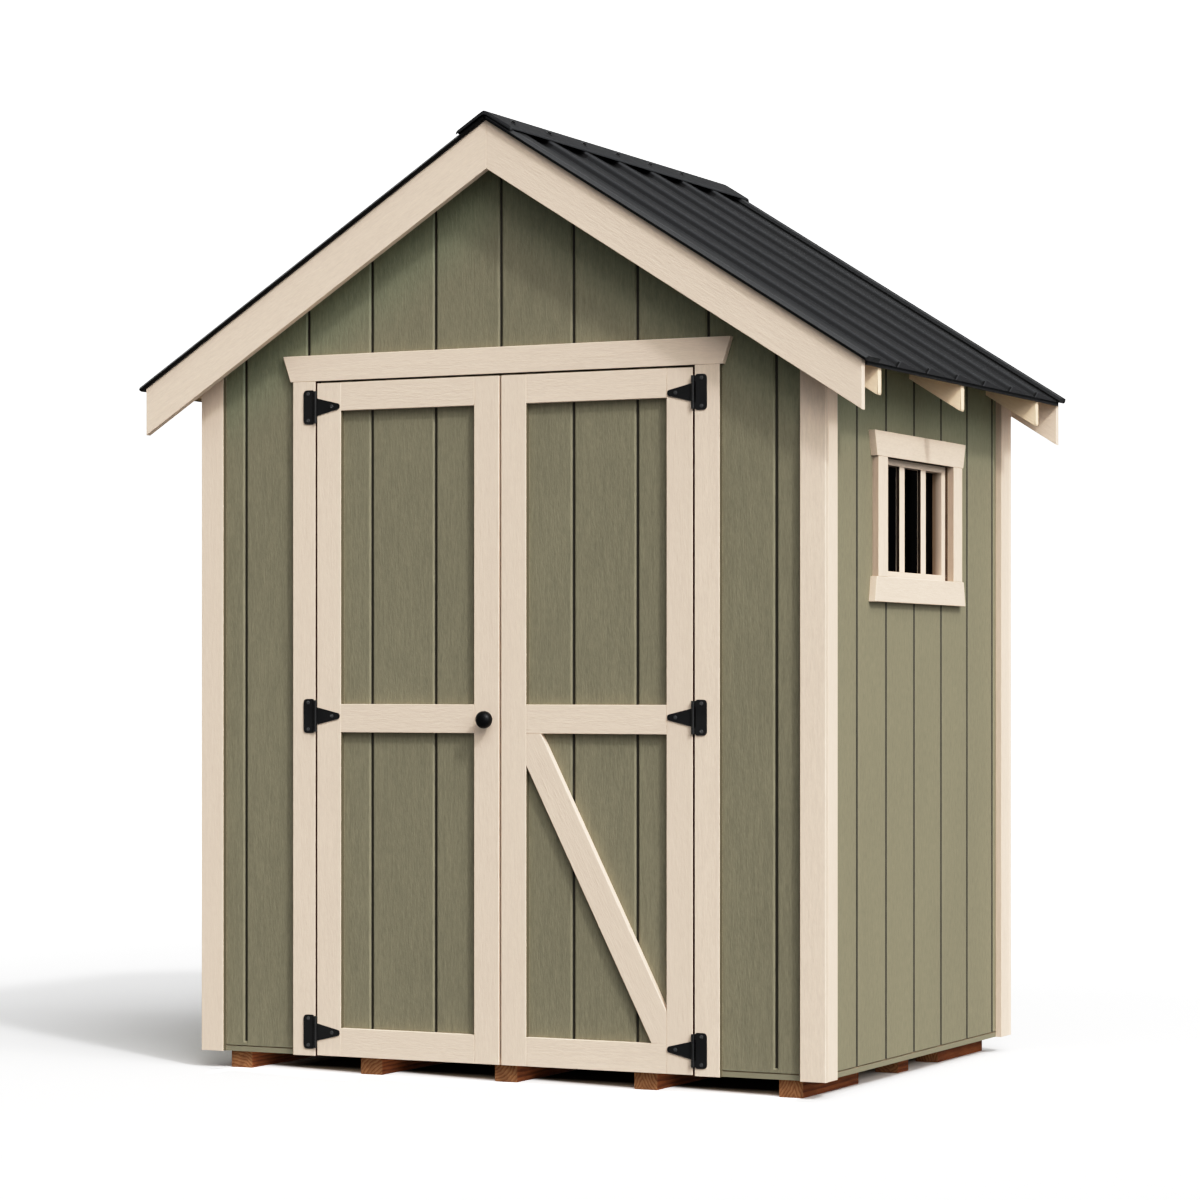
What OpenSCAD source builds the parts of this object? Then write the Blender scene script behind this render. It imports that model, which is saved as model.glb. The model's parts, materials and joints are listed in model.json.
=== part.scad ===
// Wooden garden shed with grooved panel siding, double doors, a side window
// and a ribbed metal roof. Millimetres, +Z up, the doors face -Y.
// The origin is on the ground, under the middle of the roof.

/* [Base] */
// Height of the runner blocks under the floor
runner_h = 48; // [30:1:120]
// Width of a runner block
runner_w = 68; // [40:1:110]
// Rows of runner blocks across the shed
runner_rows = 5; // [3:1:7]
// Runners set back from the front and rear trim
runner_inset = 36; // [10:1:80]
// Outer runners set in from the sides of the trim
runner_side_inset = 78; // [30:1:150]
// Length of the front foot of a runner
front_foot = 384; // [200:1:420]
// Width of the front fork pocket
front_pocket = 291; // [200:1:320]
// Length of the middle foot of a runner
middle_foot = 79; // [50:1:160]
// Width of the rear fork pocket
rear_pocket = 232; // [200:1:320]
// Thickness of the floor deck
floor_t = 14; // [9:1:25]

/* [Walls] */
// Width over the siding
wall_w = 1868; // [1600:2:2400]
// Depth over the siding
wall_d = 1386; // [1200:2:2000]
// Height of the roof underside above the ground at the side walls
eave_z = 1996; // [1980:2:2300]
// Thickness of the siding panels
siding_t = 12; // [9:0.5:18]
// Shadow gap between the floor edge and the siding
foot_gap = 3; // [1:0.5:6]
// Distance between the siding grooves
groove_pitch = 203.2; // [100:0.1:305]
// Width of a groove at the face
groove_w = 16; // [8:0.5:20]
// Width of the flat floor of a groove
groove_floor = 6; // [2:0.5:8]
// Depth of a groove
groove_d = 5; // [2:0.5:7]
// Plain siding left under the grooves
groove_stop = 8; // [4:1:30]
// Size of the square framing timber
frame_t = 38; // [32:1:50]

/* [Trim] */
// Thickness of the trim boards
board_t = 19; // [15:1:25]
// Width of the corner boards on the gable walls
corner_w = 72; // [60:1:110]
// Width of the corner boards on the side walls
side_corner_w = 64; // [50:1:90]
// Width of the door casings
casing_w = 72; // [60:1:110]
// Height of the door header board
header_h = 72; // [50:1:110]
// How far a header runs past the boards under it
header_past = 8; // [0:1:20]
// How far each end of the door header flares out
flare = 24; // [5:1:40]

/* [Doors] */
// Clear width between the door casings
doorway_w = 1160; // [1000:2:1400]
// Height of the underside of the door header
doorway_z = 1923; // [1850:1:1940]
// Gap around the door leaves
leaf_gap = 6; // [5:0.5:10]
// Gap between the two door leaves
meeting_gap = 7; // [6:0.5:12]
// Height of the bottom of the leaves above the runners
leaf_lift = 2; // [0:1:10]
// Gap from the leaf panel down to the floor
sweep_gap = 6; // [5:0.5:20]
// Width of the door stiles
stile_w = 76; // [60:1:110]
// Width of the door rails and of the diagonal brace
rail_w = 78; // [60:1:110]
// Height of the underside of the middle rail
middle_rail_z = 948; // [800:1:1100]
// Distance of the middle of the knob from the edge of its leaf
knob_set = 30; // [26:1:50]
// Height of the middle of the knob
knob_z = 985; // [880:1:1100]
// Diameter of the knob
knob_d = 48; // [36:1:60]

/* [Hinges] */
// Height of the middle of the bottom hinge
hinge_low_z = 115; // [100:1:200]
// Height of the middle of the top hinge
hinge_high_z = 1851; // [1700:1:1860]
// Height of the middle hinge above halfway
hinge_mid_up = 10; // [0:1:60]
// Thickness of the hinge plates and straps
hinge_t = 3; // [2:0.5:4]
// Width of the plate on the casing
plate_w = 33; // [25:1:45]
// Height of the plate on the casing
plate_h = 95; // [80:1:120]
// Radius of the outer corners of the plate
plate_round = 12; // [4:1:15]
// Height of the whole barrel
barrel_h = 88; // [76:1:110]
// Length of the tapered strap
strap_l = 76; // [60:1:78]
// Height of the strap beside the barrel
strap_h = 50; // [40:1:70]
// Height of the strap near its tip
strap_tip_h = 20; // [12:1:30]
// Radius of the hinge barrel
barrel_r = 4.5; // [4:0.5:6]
// Radius of the hinge pin
pin_r = 2; // [1.5:0.1:2.5]
// Clearance around the pin
pin_gap = 0.4; // [0.3:0.1:0.6]

/* [Window] */
// Distance of the window's middle behind the middle of the roof
window_y = 0; // [-60:1:60]
// Width of the window opening
window_w = 504; // [300:2:600]
// Height of the window opening
window_h = 324; // [200:2:420]
// Height of the bottom of the opening
window_z = 1371; // [1100:1:1450]
// Width of the boards around the window
window_board = 68; // [50:1:90]
// How far each end of the window header flares out
window_flare = 19; // [5:1:40]
// How far the top of the sill runs past the boards over it
sill_past = 12; // [0:1:20]
// How far each end of the sill flares out
sill_flare = 14; // [5:1:40]
// Set-back of the sash behind the siding face
sash_set = 7; // [2:0.5:12]
// Depth of the sash
sash_t = 38; // [36:1:42]
// Width of the sash stiles
sash_stile = 27; // [18:1:40]
// Width of the sash rails
sash_rail = 17; // [12:1:40]
// Width of a window bar
bar_w = 36; // [16:1:40]
// Depth of a window bar
bar_t = 12; // [6:1:13]
// Set-back of the glass behind the face of the sash
glass_set = 28; // [16:1:29]
// Thickness of the glass
glass_t = 4; // [3:0.5:6]

/* [Roof] */
// Roof pitch in degrees
roof_pitch = 32.2; // [25:0.1:40]
// Overhang of the roof beyond the side walls
eave_overhang = 152; // [100:1:250]
// Overhang of the front barge boards beyond the front siding
front_overhang = 99; // [70:1:160]
// Overhang of the rear barge boards beyond the rear siding
rear_overhang = 59; // [50:1:160]
// Thickness of the roof boarding
deck_t = 12; // [9:1:18]
// Plumb height of the barge boards
barge_h = 131; // [100:1:180]
// Thickness of the barge boards
barge_t = 22; // [16:1:28]
// Plumb height of the rafters
rafter_h = 74; // [60:1:100]
// Thickness of the rafters
rafter_t = 24; // [20:1:40]
// Length of the rafter tails beyond the left wall
left_tail = 50; // [25:1:150]
// Number of rafter pairs
rafter_pairs = 3; // [2:1:5]
// Middle of the last rafter in front of the rear siding face
rear_rafter_set = 134; // [60:1:200]
// Thickness of the ridge board
ridge_t = 22; // [16:1:30]
// Height of the ridge board
ridge_h = 92; // [70:1:120]

/* [Roofing] */
// Overhang of the roofing beyond the barge boards
verge_lip = 12; // [6:1:20]
// Overhang of the roofing beyond the rafter ends
eave_lip = 12; // [6:1:25]
// Width of the front verge flashing
verge_w = 95; // [60:1:130]
// Width of the rear verge flashing
rear_verge_w = 50; // [40:1:80]
// Height of the verge flashings
verge_h = 13; // [10:0.5:24]
// Height of the upright edge of the verge flashings
verge_edge_h = 6; // [4:0.5:8]
// Set-back of the drip under that edge
verge_drip = 4; // [2:0.5:6]
// Run of the bevel over that edge
verge_bevel = 5; // [2:0.5:10]
// Reach of the eave flashings beyond the boarding
flashing_reach = 7; // [4:0.5:9]
// Drop of the eave flashings below the boarding
flashing_drop = 2; // [1:0.5:4]
// Thickness of the roof sheet between the ribs
sheet_t = 2; // [1:0.5:3]
// Height of the ribs
rib_h = 16; // [12:0.5:16]
// Number of ribs on each slope
rib_count = 6; // [3:1:9]
// Flat sheet in front of the first rib
first_pan = 127; // [60:1:200]
// Run of the steep front of a rib
rib_front = 5; // [2:0.5:12]
// Width of the top of a rib
rib_top = 24; // [12:1:40]
// Share of the rib spacing taken by the gentle back slope
rib_back = 0.65; // [0.2:0.05:0.7]
// Length of a ridge cap wing along the slope
cap_wing = 100; // [80:1:140]
// Thickness of the ridge cap
cap_t = 3; // [2:0.5:4]
// How far the ridge cap runs past the verge flashings
cap_past = 3; // [0:0.5:8]

/* [Hidden] */

// Small joint left between pieces that meet
joint = 0.3;
// How far a cutter runs past the face it cuts
past = 1;
// Room between a hinge barrel and the trim
barrel_off = 1;
// Room between a hinge barrel and the edge of a strap or plate
root_off = 2;
// Door posts behind the edges of the doorway
post_set = 2;
round_fn = 48;

paint_trim = [0.86, 0.79, 0.70];
paint_siding = [0.46, 0.45, 0.35];
stain_runner = [0.48, 0.27, 0.17];
bare_wood = [0.74, 0.60, 0.42];
roof_metal = [0.17, 0.18, 0.19];
iron_black = [0.06, 0.06, 0.06];
pane = [0.60, 0.70, 0.75, 0.4];

// Plan of the walls: siding faces and trim faces
side_x = wall_w / 2;
trim_x = side_x + board_t;
roof_d = wall_d + front_overhang + rear_overhang + 2 * verge_lip;
front_y = -roof_d / 2 + verge_lip + front_overhang;
rear_y = front_y + wall_d;
trim_front_y = front_y - board_t;
trim_rear_y = rear_y + board_t;

// Levels
floor_z = runner_h + floor_t;
siding_z = floor_z + foot_gap;

// Roof lines, from the underside of the boarding
fall = tan(roof_pitch);
lean = cos(roof_pitch);
ridge_under_z = eave_z + side_x * fall;
ridge_top_z = ridge_under_z + deck_t / lean;
eave_x = side_x + eave_overhang;
barge_front_y = front_y - front_overhang;
barge_rear_y = rear_y + rear_overhang;
deck_y0 = barge_front_y + barge_t;
deck_y1 = barge_rear_y - barge_t;
roof_y0 = barge_front_y - verge_lip;
roof_y1 = barge_rear_y + verge_lip;
sheet_l = (eave_x + eave_lip) / lean;
first_rafter_y = front_y + siding_t + joint + rafter_t / 2;
last_rafter_y = rear_y - rear_rafter_set;
rafter_step = (last_rafter_y - first_rafter_y) / (rafter_pairs - 1);
rafter_y = [for (i = [0:rafter_pairs - 1]) first_rafter_y + i * rafter_step];

function under_z(x) = ridge_under_z - abs(x) * fall;
function top_z(x) = ridge_top_z - abs(x) * fall;

// Framing levels: the side plates lie under the rafters
plate_top_z = under_z(side_x - siding_t) - rafter_h - joint;
plate_low_z = plate_top_z - frame_t;
frame_x = side_x - siding_t - joint;
frame_y0 = front_y + siding_t + joint;
frame_y1 = rear_y - siding_t - joint;

// Door leaf: the right leaf is drawn and the left one mirrors it
leaf_in = meeting_gap / 2;
leaf_out = doorway_w / 2 - leaf_gap;
leaf_z0 = runner_h + leaf_lift;
leaf_z1 = doorway_z - leaf_gap;
leaf_field_x0 = leaf_in + stile_w;
leaf_field_x1 = leaf_out - stile_w;
hinge_x = doorway_w / 2 - leaf_gap / 2;
hinge_y = trim_front_y - barrel_r - barrel_off;
leaf_back = barrel_r + barrel_off;
hinge_z = [hinge_low_z, (hinge_low_z + hinge_high_z) / 2 + hinge_mid_up, hinge_high_z];

// Window: the opening in the right wall
win_y0 = window_y - window_w / 2;
win_y1 = window_y + window_w / 2;
win_z1 = window_z + window_h;
sash_x1 = side_x - sash_set;
sash_x0 = sash_x1 - sash_t;
sash_gap = joint;

module block(low, high) {
    translate(low)
        cube([high[0] - low[0], high[1] - low[1], high[2] - low[2]]);
}

// A plate drawn in X and Z, from y0 to y1
module upright(points, y0, y1) {
    translate([0, y1, 0])
        rotate([90, 0, 0])
            linear_extrude(height = y1 - y0)
                polygon(points);
}

// A plate drawn in Y and Z, from x0 to x1
module sideways(points, x0, x1) {
    translate([x0, 0, 0])
        rotate([90, 0, 90])
            linear_extrude(height = x1 - x0)
                polygon(points);
}

// Stands just over the right roof slope: X down the slope, Z square to it
module on_slope() {
    translate([0, 0, ridge_top_z + joint])
        rotate([0, roof_pitch, 0])
            children();
}

module both_sides() {
    children();
    mirror([1, 0, 0])
        children();
}

module runner_blocks() {
    y0 = trim_front_y + runner_inset;
    y1 = y0 + front_foot + front_pocket;
    y2 = y1 + middle_foot + rear_pocket;
    y3 = trim_rear_y - runner_inset;
    span = 2 * (trim_x - runner_side_inset) - runner_w;
    color(stain_runner)
        for (i = [0:runner_rows - 1]) {
            x = -span / 2 + i * span / (runner_rows - 1);
            block([x - runner_w / 2, y0, 0], [x + runner_w / 2, y0 + front_foot, runner_h]);
            block([x - runner_w / 2, y1, 0], [x + runner_w / 2, y1 + middle_foot, runner_h]);
            block([x - runner_w / 2, y2, 0], [x + runner_w / 2, y3, runner_h]);
        }
}

// The deck's edge shows under the siding; it is cut back behind the doors
module floor_deck() {
    color(paint_siding)
        difference() {
            block([-side_x, front_y, runner_h], [side_x, rear_y, floor_z]);
            block([-doorway_w / 2, front_y - past, runner_h - past],
                  [doorway_w / 2, front_y + leaf_gap, floor_z + past]);
        }
}

// Cutter for one groove: widest at the face and narrower towards its floor
module groove_cutter(z0, z1) {
    translate([0, 0, z0])
        linear_extrude(height = z1 - z0)
            polygon([
                [-groove_w / 2, 0],
                [-groove_floor / 2, -groove_d],
                [groove_floor / 2, -groove_d],
                [groove_w / 2, 0],
                [groove_floor / 2, groove_d],
                [-groove_floor / 2, groove_d]
            ]);
}

// Cutters for the grooves of a front or rear panel between two X values
module cross_grooves(face_y, x0, x1, z0, z1) {
    n = ceil(side_x / groove_pitch);
    for (i = [-n:n]) {
        x = i * groove_pitch;
        if (x - groove_w / 2 > x0 + past && x + groove_w / 2 < x1 - past)
            translate([x, face_y, 0])
                groove_cutter(z0, z1);
    }
}

// Cutters for the grooves of a side panel, which run down to its foot
module side_grooves(face_x, z0, z1) {
    n = floor((wall_d - 2 * board_t) / groove_pitch);
    for (i = [1:n])
        translate([face_x, front_y + i * groove_pitch, 0])
            rotate([0, 0, 90])
                groove_cutter(z0, z1);
}

module front_wall_right() {
    color(paint_siding)
        difference() {
            block([doorway_w / 2, front_y, siding_z], [side_x, front_y + siding_t, doorway_z]);
            cross_grooves(front_y, doorway_w / 2 + casing_w, side_x,
                          siding_z + groove_stop, doorway_z + past);
        }
}

module front_wall_left() {
    mirror([1, 0, 0])
        front_wall_right();
}

// Gable outline from a bottom level up to the roof boarding
function gable(z0) = [
    [-side_x, z0],
    [side_x, z0],
    [side_x, under_z(side_x) - joint],
    [0, ridge_under_z - joint],
    [-side_x, under_z(side_x) - joint]
];

module front_gable() {
    z0 = doorway_z + joint;
    color(paint_siding)
        difference() {
            upright(gable(z0), front_y, front_y + siding_t);
            cross_grooves(front_y, -side_x, side_x, z0 - past, ridge_top_z);
        }
}

module rear_wall() {
    color(paint_siding)
        difference() {
            upright(gable(siding_z), rear_y - siding_t, rear_y);
            cross_grooves(rear_y, -side_x, side_x, siding_z + groove_stop, ridge_top_z);
        }
}

// Room for the rafters where they pass the side walls
module rafter_slots() {
    for (y = rafter_y)
        block([side_x - siding_t - past, y - rafter_t / 2 - joint, under_z(trim_x) - rafter_h - joint],
              [trim_x + past, y + rafter_t / 2 + joint, ridge_top_z]);
}

module side_panel() {
    difference() {
        block([side_x - siding_t, front_y + siding_t + joint, siding_z],
              [side_x, rear_y - siding_t - joint, under_z(side_x) - joint]);
        side_grooves(side_x, siding_z - past, ridge_top_z);
        rafter_slots();
    }
}

module left_wall() {
    color(paint_siding)
        mirror([1, 0, 0])
            side_panel();
}

module right_wall() {
    color(paint_siding)
        difference() {
            side_panel();
            block([side_x - siding_t - past, win_y0, window_z], [side_x + past, win_y1, win_z1]);
        }
}

module front_frame() {
    post_x0 = doorway_w / 2 + post_set;
    post_x1 = post_x0 + frame_t;
    color(bare_wood) {
        both_sides() {
            block([post_x0, frame_y0, floor_z], [post_x1, frame_y0 + frame_t, doorway_z]);
            block([post_x1 + joint, frame_y0, floor_z],
                  [frame_x - frame_t - joint, frame_y0 + frame_t, floor_z + frame_t]);
        }
        block([-post_x1, frame_y0 + rafter_t + joint, doorway_z + joint],
              [post_x1, frame_y0 + rafter_t + frame_t, doorway_z + 2 * frame_t]);
    }
}

module rear_frame() {
    inner = frame_x - frame_t - joint;
    stud_x = inner / 3;
    color(bare_wood) {
        block([-inner, frame_y1 - frame_t, floor_z], [inner, frame_y1, floor_z + frame_t]);
        block([-inner, frame_y1 - frame_t, plate_low_z], [inner, frame_y1, plate_top_z]);
        both_sides()
            block([stud_x - frame_t / 2, frame_y1 - frame_t, floor_z + frame_t + joint],
                  [stud_x + frame_t / 2, frame_y1, plate_low_z - joint]);
    }
}

// Bottom and top plates and corner studs of a side wall
module side_frame() {
    x0 = frame_x - frame_t;
    block([x0, frame_y0, floor_z], [frame_x, frame_y1, floor_z + frame_t]);
    block([x0, frame_y0, plate_low_z], [frame_x, frame_y1, plate_top_z]);
    side_stud(frame_y0);
    side_stud(frame_y1 - frame_t);
}

module side_stud(y) {
    block([frame_x - frame_t, y, floor_z + frame_t + joint], [frame_x, y + frame_t, plate_low_z - joint]);
}

module left_frame() {
    color(bare_wood)
        mirror([1, 0, 0]) {
            side_frame();
            side_stud(frame_y0 + (frame_y1 - frame_y0) / 3 - frame_t / 2);
            side_stud(frame_y0 + (frame_y1 - frame_y0) * 2 / 3 - frame_t / 2);
        }
}

module right_frame() {
    x0 = frame_x - frame_t;
    color(bare_wood) {
        side_frame();
        side_stud(win_y0 - frame_t);
        side_stud(win_y1);
        block([x0, win_y0 + joint, window_z - frame_t], [frame_x, win_y1 - joint, window_z]);
        block([x0, win_y0 + joint, win_z1], [frame_x, win_y1 - joint, win_z1 + frame_t]);
    }
}

// The rafters of one slope, out to x1; the lower corner of each tail is eased
module slope_rafters(x1) {
    x0 = ridge_t / 2 + joint;
    ease = rafter_h / 10;
    low = under_z(x1) - rafter_h;
    for (y = rafter_y)
        upright([
            [x0, under_z(x0) - joint],
            [x0, under_z(x0) - rafter_h],
            [x1 - ease, low + ease * fall],
            [x1 - ease * 0.3, low + ease * 0.3],
            [x1, low + ease],
            [x1, under_z(x1) - joint]
        ], y - rafter_t / 2, y + rafter_t / 2);
}

module rafters() {
    color(paint_trim) {
        slope_rafters(eave_x);
        mirror([1, 0, 0])
            slope_rafters(side_x + left_tail);
    }
}

module ridge_board() {
    z1 = under_z(ridge_t / 2) - joint;
    color(bare_wood)
        block([-ridge_t / 2, frame_y0, z1 - ridge_h], [ridge_t / 2, frame_y1, z1]);
}

module roof_deck() {
    color(bare_wood)
        both_sides()
            upright([
                [joint, under_z(joint)],
                [eave_x, under_z(eave_x)],
                [eave_x, top_z(eave_x)],
                [joint, top_z(joint)]
            ], deck_y0, deck_y1);
}

// Each rib has a steep front, a flat top and a gentle back
function rib_points(y, pitch) = [
    [y, sheet_t],
    [y + rib_front, rib_h],
    [y + rib_front + rib_top, rib_h],
    [y + rib_front + rib_top + pitch * rib_back, sheet_t]
];

module roof_sheet_right() {
    y0 = roof_y0 + verge_w + joint;
    y1 = roof_y1 - rear_verge_w - joint;
    pitch = (y1 - y0 - first_pan) / rib_count;
    tops = [for (i = [0:rib_count - 1]) each rib_points(y0 + first_pan + i * pitch, pitch)];
    color(roof_metal)
        on_slope()
            sideways(concat([[y1, 0], [y0, 0], [y0, sheet_t]], tops, [[y1, sheet_t]]), joint, sheet_l);
}

module roof_sheet_left() {
    mirror([1, 0, 0])
        roof_sheet_right();
}

// Verge flashing section, from its outer edge inward: a bevel over an upright edge, over a drip
module verge(out, in) {
    inward = sign(in - out);
    color(roof_metal)
        both_sides()
            on_slope()
                sideways([
                    [in, 0],
                    [out + inward * verge_drip, 0],
                    [out + inward * verge_drip, verge_edge_h / 3],
                    [out, verge_edge_h / 3],
                    [out, verge_edge_h],
                    [out + inward * verge_bevel, verge_h],
                    [in, verge_h]
                ], joint, sheet_l + past);
}

module front_verge() {
    verge(roof_y0, roof_y0 + verge_w);
}

module rear_verge() {
    verge(roof_y1, roof_y1 - rear_verge_w);
}

module eave_flashings() {
    x1 = eave_x + flashing_reach;
    low = under_z(eave_x) - flashing_drop;
    color(roof_metal)
        both_sides()
            upright([
                [eave_x + joint, low],
                [x1, low],
                [x1, top_z(x1)],
                [eave_x + joint, top_z(eave_x + joint)]
            ], deck_y0, deck_y1);
}

module ridge_cap() {
    x1 = cap_wing * lean;
    low = max(verge_h, rib_h) / lean + 2 * joint;
    high = low + cap_t / lean;
    color(roof_metal)
        upright([
            [0, ridge_top_z + low],
            [x1, top_z(x1) + low],
            [x1, top_z(x1) + high],
            [0, ridge_top_z + high],
            [-x1, top_z(x1) + high],
            [-x1, top_z(x1) + low]
        ], roof_y0 - cap_past, roof_y1 + cap_past);
}

module barge_pair(y0, y1) {
    color(paint_trim)
        both_sides()
            upright([
                [joint / 2, top_z(joint / 2) - barge_h],
                [eave_x, top_z(eave_x) - barge_h],
                [eave_x, top_z(eave_x)],
                [joint / 2, top_z(joint / 2)]
            ], y0, y1);
}

module front_barge_boards() {
    barge_pair(barge_front_y, barge_front_y + barge_t);
}

module rear_barge_boards() {
    barge_pair(barge_rear_y - barge_t, barge_rear_y);
}

// Corner boards on the gable walls cover the edges of the side ones
module gable_corner(y0, y1) {
    x0 = trim_x - corner_w;
    color(paint_trim)
        both_sides()
            upright([
                [x0, runner_h],
                [trim_x, runner_h],
                [trim_x, under_z(trim_x) - joint],
                [x0, under_z(x0) - joint]
            ], y0, y1);
}

module corner_boards_front() {
    gable_corner(trim_front_y, front_y);
}

module corner_boards_rear() {
    gable_corner(rear_y, trim_rear_y);
}

module side_corners() {
    top = under_z(trim_x) - joint;
    difference() {
        union() {
            block([side_x, front_y + joint, runner_h], [trim_x, front_y + side_corner_w, top]);
            block([side_x, rear_y - side_corner_w, runner_h], [trim_x, rear_y - joint, top]);
        }
        rafter_slots();
    }
}

module corner_boards_right() {
    color(paint_trim)
        side_corners();
}

module corner_boards_left() {
    color(paint_trim)
        mirror([1, 0, 0])
            side_corners();
}

module door_casings() {
    color(paint_trim)
        both_sides()
            block([doorway_w / 2, trim_front_y, runner_h],
                  [doorway_w / 2 + casing_w, front_y, doorway_z - joint]);
}

// The header runs a little past the casings
module door_header() {
    low = doorway_w / 2 + casing_w + header_past;
    high = low + flare;
    color(paint_trim)
        upright([
            [-low, doorway_z],
            [low, doorway_z],
            [high, doorway_z + header_h],
            [-high, doorway_z + header_h]
        ], trim_front_y, front_y);
}

module window_casings() {
    color(paint_trim) {
        block([side_x, win_y0 - window_board, window_z + joint], [trim_x, win_y0, win_z1 - joint]);
        block([side_x, win_y1, window_z + joint], [trim_x, win_y1 + window_board, win_z1 - joint]);
    }
}

module window_header() {
    half = window_w / 2 + window_board + header_past;
    color(paint_trim)
        sideways([
            [window_y - half, win_z1],
            [window_y + half, win_z1],
            [window_y + half + window_flare, win_z1 + window_board],
            [window_y - half - window_flare, win_z1 + window_board]
        ], side_x, trim_x);
}

module window_sill() {
    half = window_w / 2 + window_board + sill_past;
    color(paint_trim)
        sideways([
            [window_y - half - sill_flare, window_z - window_board],
            [window_y + half + sill_flare, window_z - window_board],
            [window_y + half, window_z],
            [window_y - half, window_z]
        ], side_x, trim_x);
}

module window_sash() {
    y0 = win_y0 + sash_gap;
    y1 = win_y1 - sash_gap;
    z0 = window_z + sash_gap;
    z1 = win_z1 - sash_gap;
    color(paint_trim) {
        block([sash_x0, y0, z0], [sash_x1, y0 + sash_stile, z1]);
        block([sash_x0, y1 - sash_stile, z0], [sash_x1, y1, z1]);
        block([sash_x0, y0 + sash_stile + joint, z0], [sash_x1, y1 - sash_stile - joint, z0 + sash_rail]);
        block([sash_x0, y0 + sash_stile + joint, z1 - sash_rail], [sash_x1, y1 - sash_stile - joint, z1]);
    }
}

module window_bars() {
    y0 = win_y0 + sash_gap + sash_stile;
    light = (win_y1 - sash_gap - sash_stile - y0 - 2 * bar_w) / 3;
    color(paint_trim)
        for (i = [1:2]) {
            y = y0 + i * light + (i - 1) * bar_w;
            block([sash_x1 - bar_t, y, window_z + sash_gap + sash_rail + joint],
                  [sash_x1, y + bar_w, win_z1 - sash_gap - sash_rail - joint]);
        }
}

module window_glass() {
    x0 = sash_x1 - glass_set - glass_t;
    in_y = sash_gap + sash_stile + joint;
    in_z = sash_gap + sash_rail + joint;
    color(pane)
        block([x0, win_y0 + in_y, window_z + in_z],
              [x0 + glass_t, win_y1 - in_y, win_z1 - in_z]);
}

module leaf_panel() {
    z0 = floor_z + sweep_gap;
    difference() {
        block([leaf_in, front_y, z0], [leaf_out, front_y + siding_t, leaf_z1]);
        cross_grooves(front_y, leaf_field_x0, leaf_field_x1, z0 - past, leaf_z1 + past);
    }
}

module leaf_frame() {
    z2 = leaf_z1 - rail_w;
    block([leaf_in, trim_front_y, leaf_z0], [leaf_in + stile_w, front_y, leaf_z1]);
    block([leaf_out - stile_w, trim_front_y, leaf_z0], [leaf_out, front_y, leaf_z1]);
    for (z = [leaf_z0, middle_rail_z, z2])
        block([leaf_field_x0 + joint, trim_front_y, z], [leaf_field_x1 - joint, front_y, z + rail_w]);
}

// The diagonal brace fills the lower field from corner to corner
module leaf_brace() {
    x0 = leaf_field_x0 + joint;
    x1 = leaf_field_x1 - joint;
    z0 = leaf_z0 + rail_w + joint;
    z1 = middle_rail_z - joint;
    slant = sqrt((x1 - x0) * (x1 - x0) + (z1 - z0) * (z1 - z0));
    across = rail_w / 2 * slant / (z1 - z0);
    down = rail_w / 2 * slant / (x1 - x0);
    upright([
        [x0, z1],
        [x0, z1 - down],
        [x1 - across, z0],
        [x1, z0],
        [x1, z0 + down],
        [x0 + across, z1]
    ], trim_front_y, front_y);
}

// Points of a bend about a middle, from one angle to another
function bend(x, z, r, from, to) = [
    for (i = [0:6]) let (a = from + (to - from) * i / 6) [x + r * cos(a), z + r * sin(a)]
];

// Tapered strap with a rounded tip; its long middle knuckle turns on the pin
module strap() {
    root = barrel_r + root_off;
    tip = strap_tip_h / 2;
    difference() {
        union() {
            upright(concat(
                [[-root, -strap_h / 2], [-root, strap_h / 2]],
                bend(-strap_l + tip, 0, tip, 100, 260)
            ), leaf_back - hinge_t, leaf_back);
            translate([0, 0, -strap_h / 2])
                cylinder(r = barrel_r, h = strap_h, $fn = round_fn);
            block([-root - past, leaf_back - hinge_t, -strap_h / 2], [0, barrel_r, strap_h / 2]);
        }
        translate([0, 0, -strap_h / 2 - past])
            cylinder(r = pin_r + pin_gap, h = strap_h + 2 * past, $fn = round_fn);
    }
}

// Plate on the casing, with a knuckle above and below the strap's and the pin through all three
module plate() {
    root = barrel_r + root_off;
    far = root + plate_w - plate_round;
    high = plate_h / 2 - plate_round;
    knuckle_z = strap_h / 2 + joint;
    upright(concat(
        [[root, plate_h / 2], [root, -plate_h / 2]],
        bend(far, -high, plate_round, -90, 0),
        bend(far, high, plate_round, 0, 90)
    ), leaf_back - hinge_t, leaf_back);
    for (up = [0, 1])
        mirror([0, 0, up]) {
            translate([0, 0, knuckle_z])
                cylinder(r = barrel_r, h = barrel_h / 2 - knuckle_z, $fn = round_fn);
            block([0, leaf_back - hinge_t, knuckle_z], [root + past, barrel_r, barrel_h / 2]);
        }
    translate([0, 0, -barrel_h / 2])
        cylinder(r = pin_r, h = barrel_h, $fn = round_fn);
}

module right_straps() {
    for (z = hinge_z)
        translate([hinge_x, hinge_y, z])
            strap();
}

module hinge_plates() {
    color(iron_black)
        both_sides()
            for (z = hinge_z)
                translate([hinge_x, hinge_y, z])
                    plate();
}

module right_door_panel() {
    color(paint_siding)
        leaf_panel();
}

module right_door_frame() {
    color(paint_trim)
        leaf_frame();
}

module right_door_brace() {
    color(paint_trim)
        leaf_brace();
}

module right_hinge_straps() {
    color(iron_black)
        right_straps();
}

module left_door_panel() {
    color(paint_siding)
        mirror([1, 0, 0])
            leaf_panel();
}

module left_door_frame() {
    color(paint_trim)
        mirror([1, 0, 0])
            leaf_frame();
}

module left_hinge_straps() {
    color(iron_black)
        mirror([1, 0, 0])
            right_straps();
}

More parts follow.
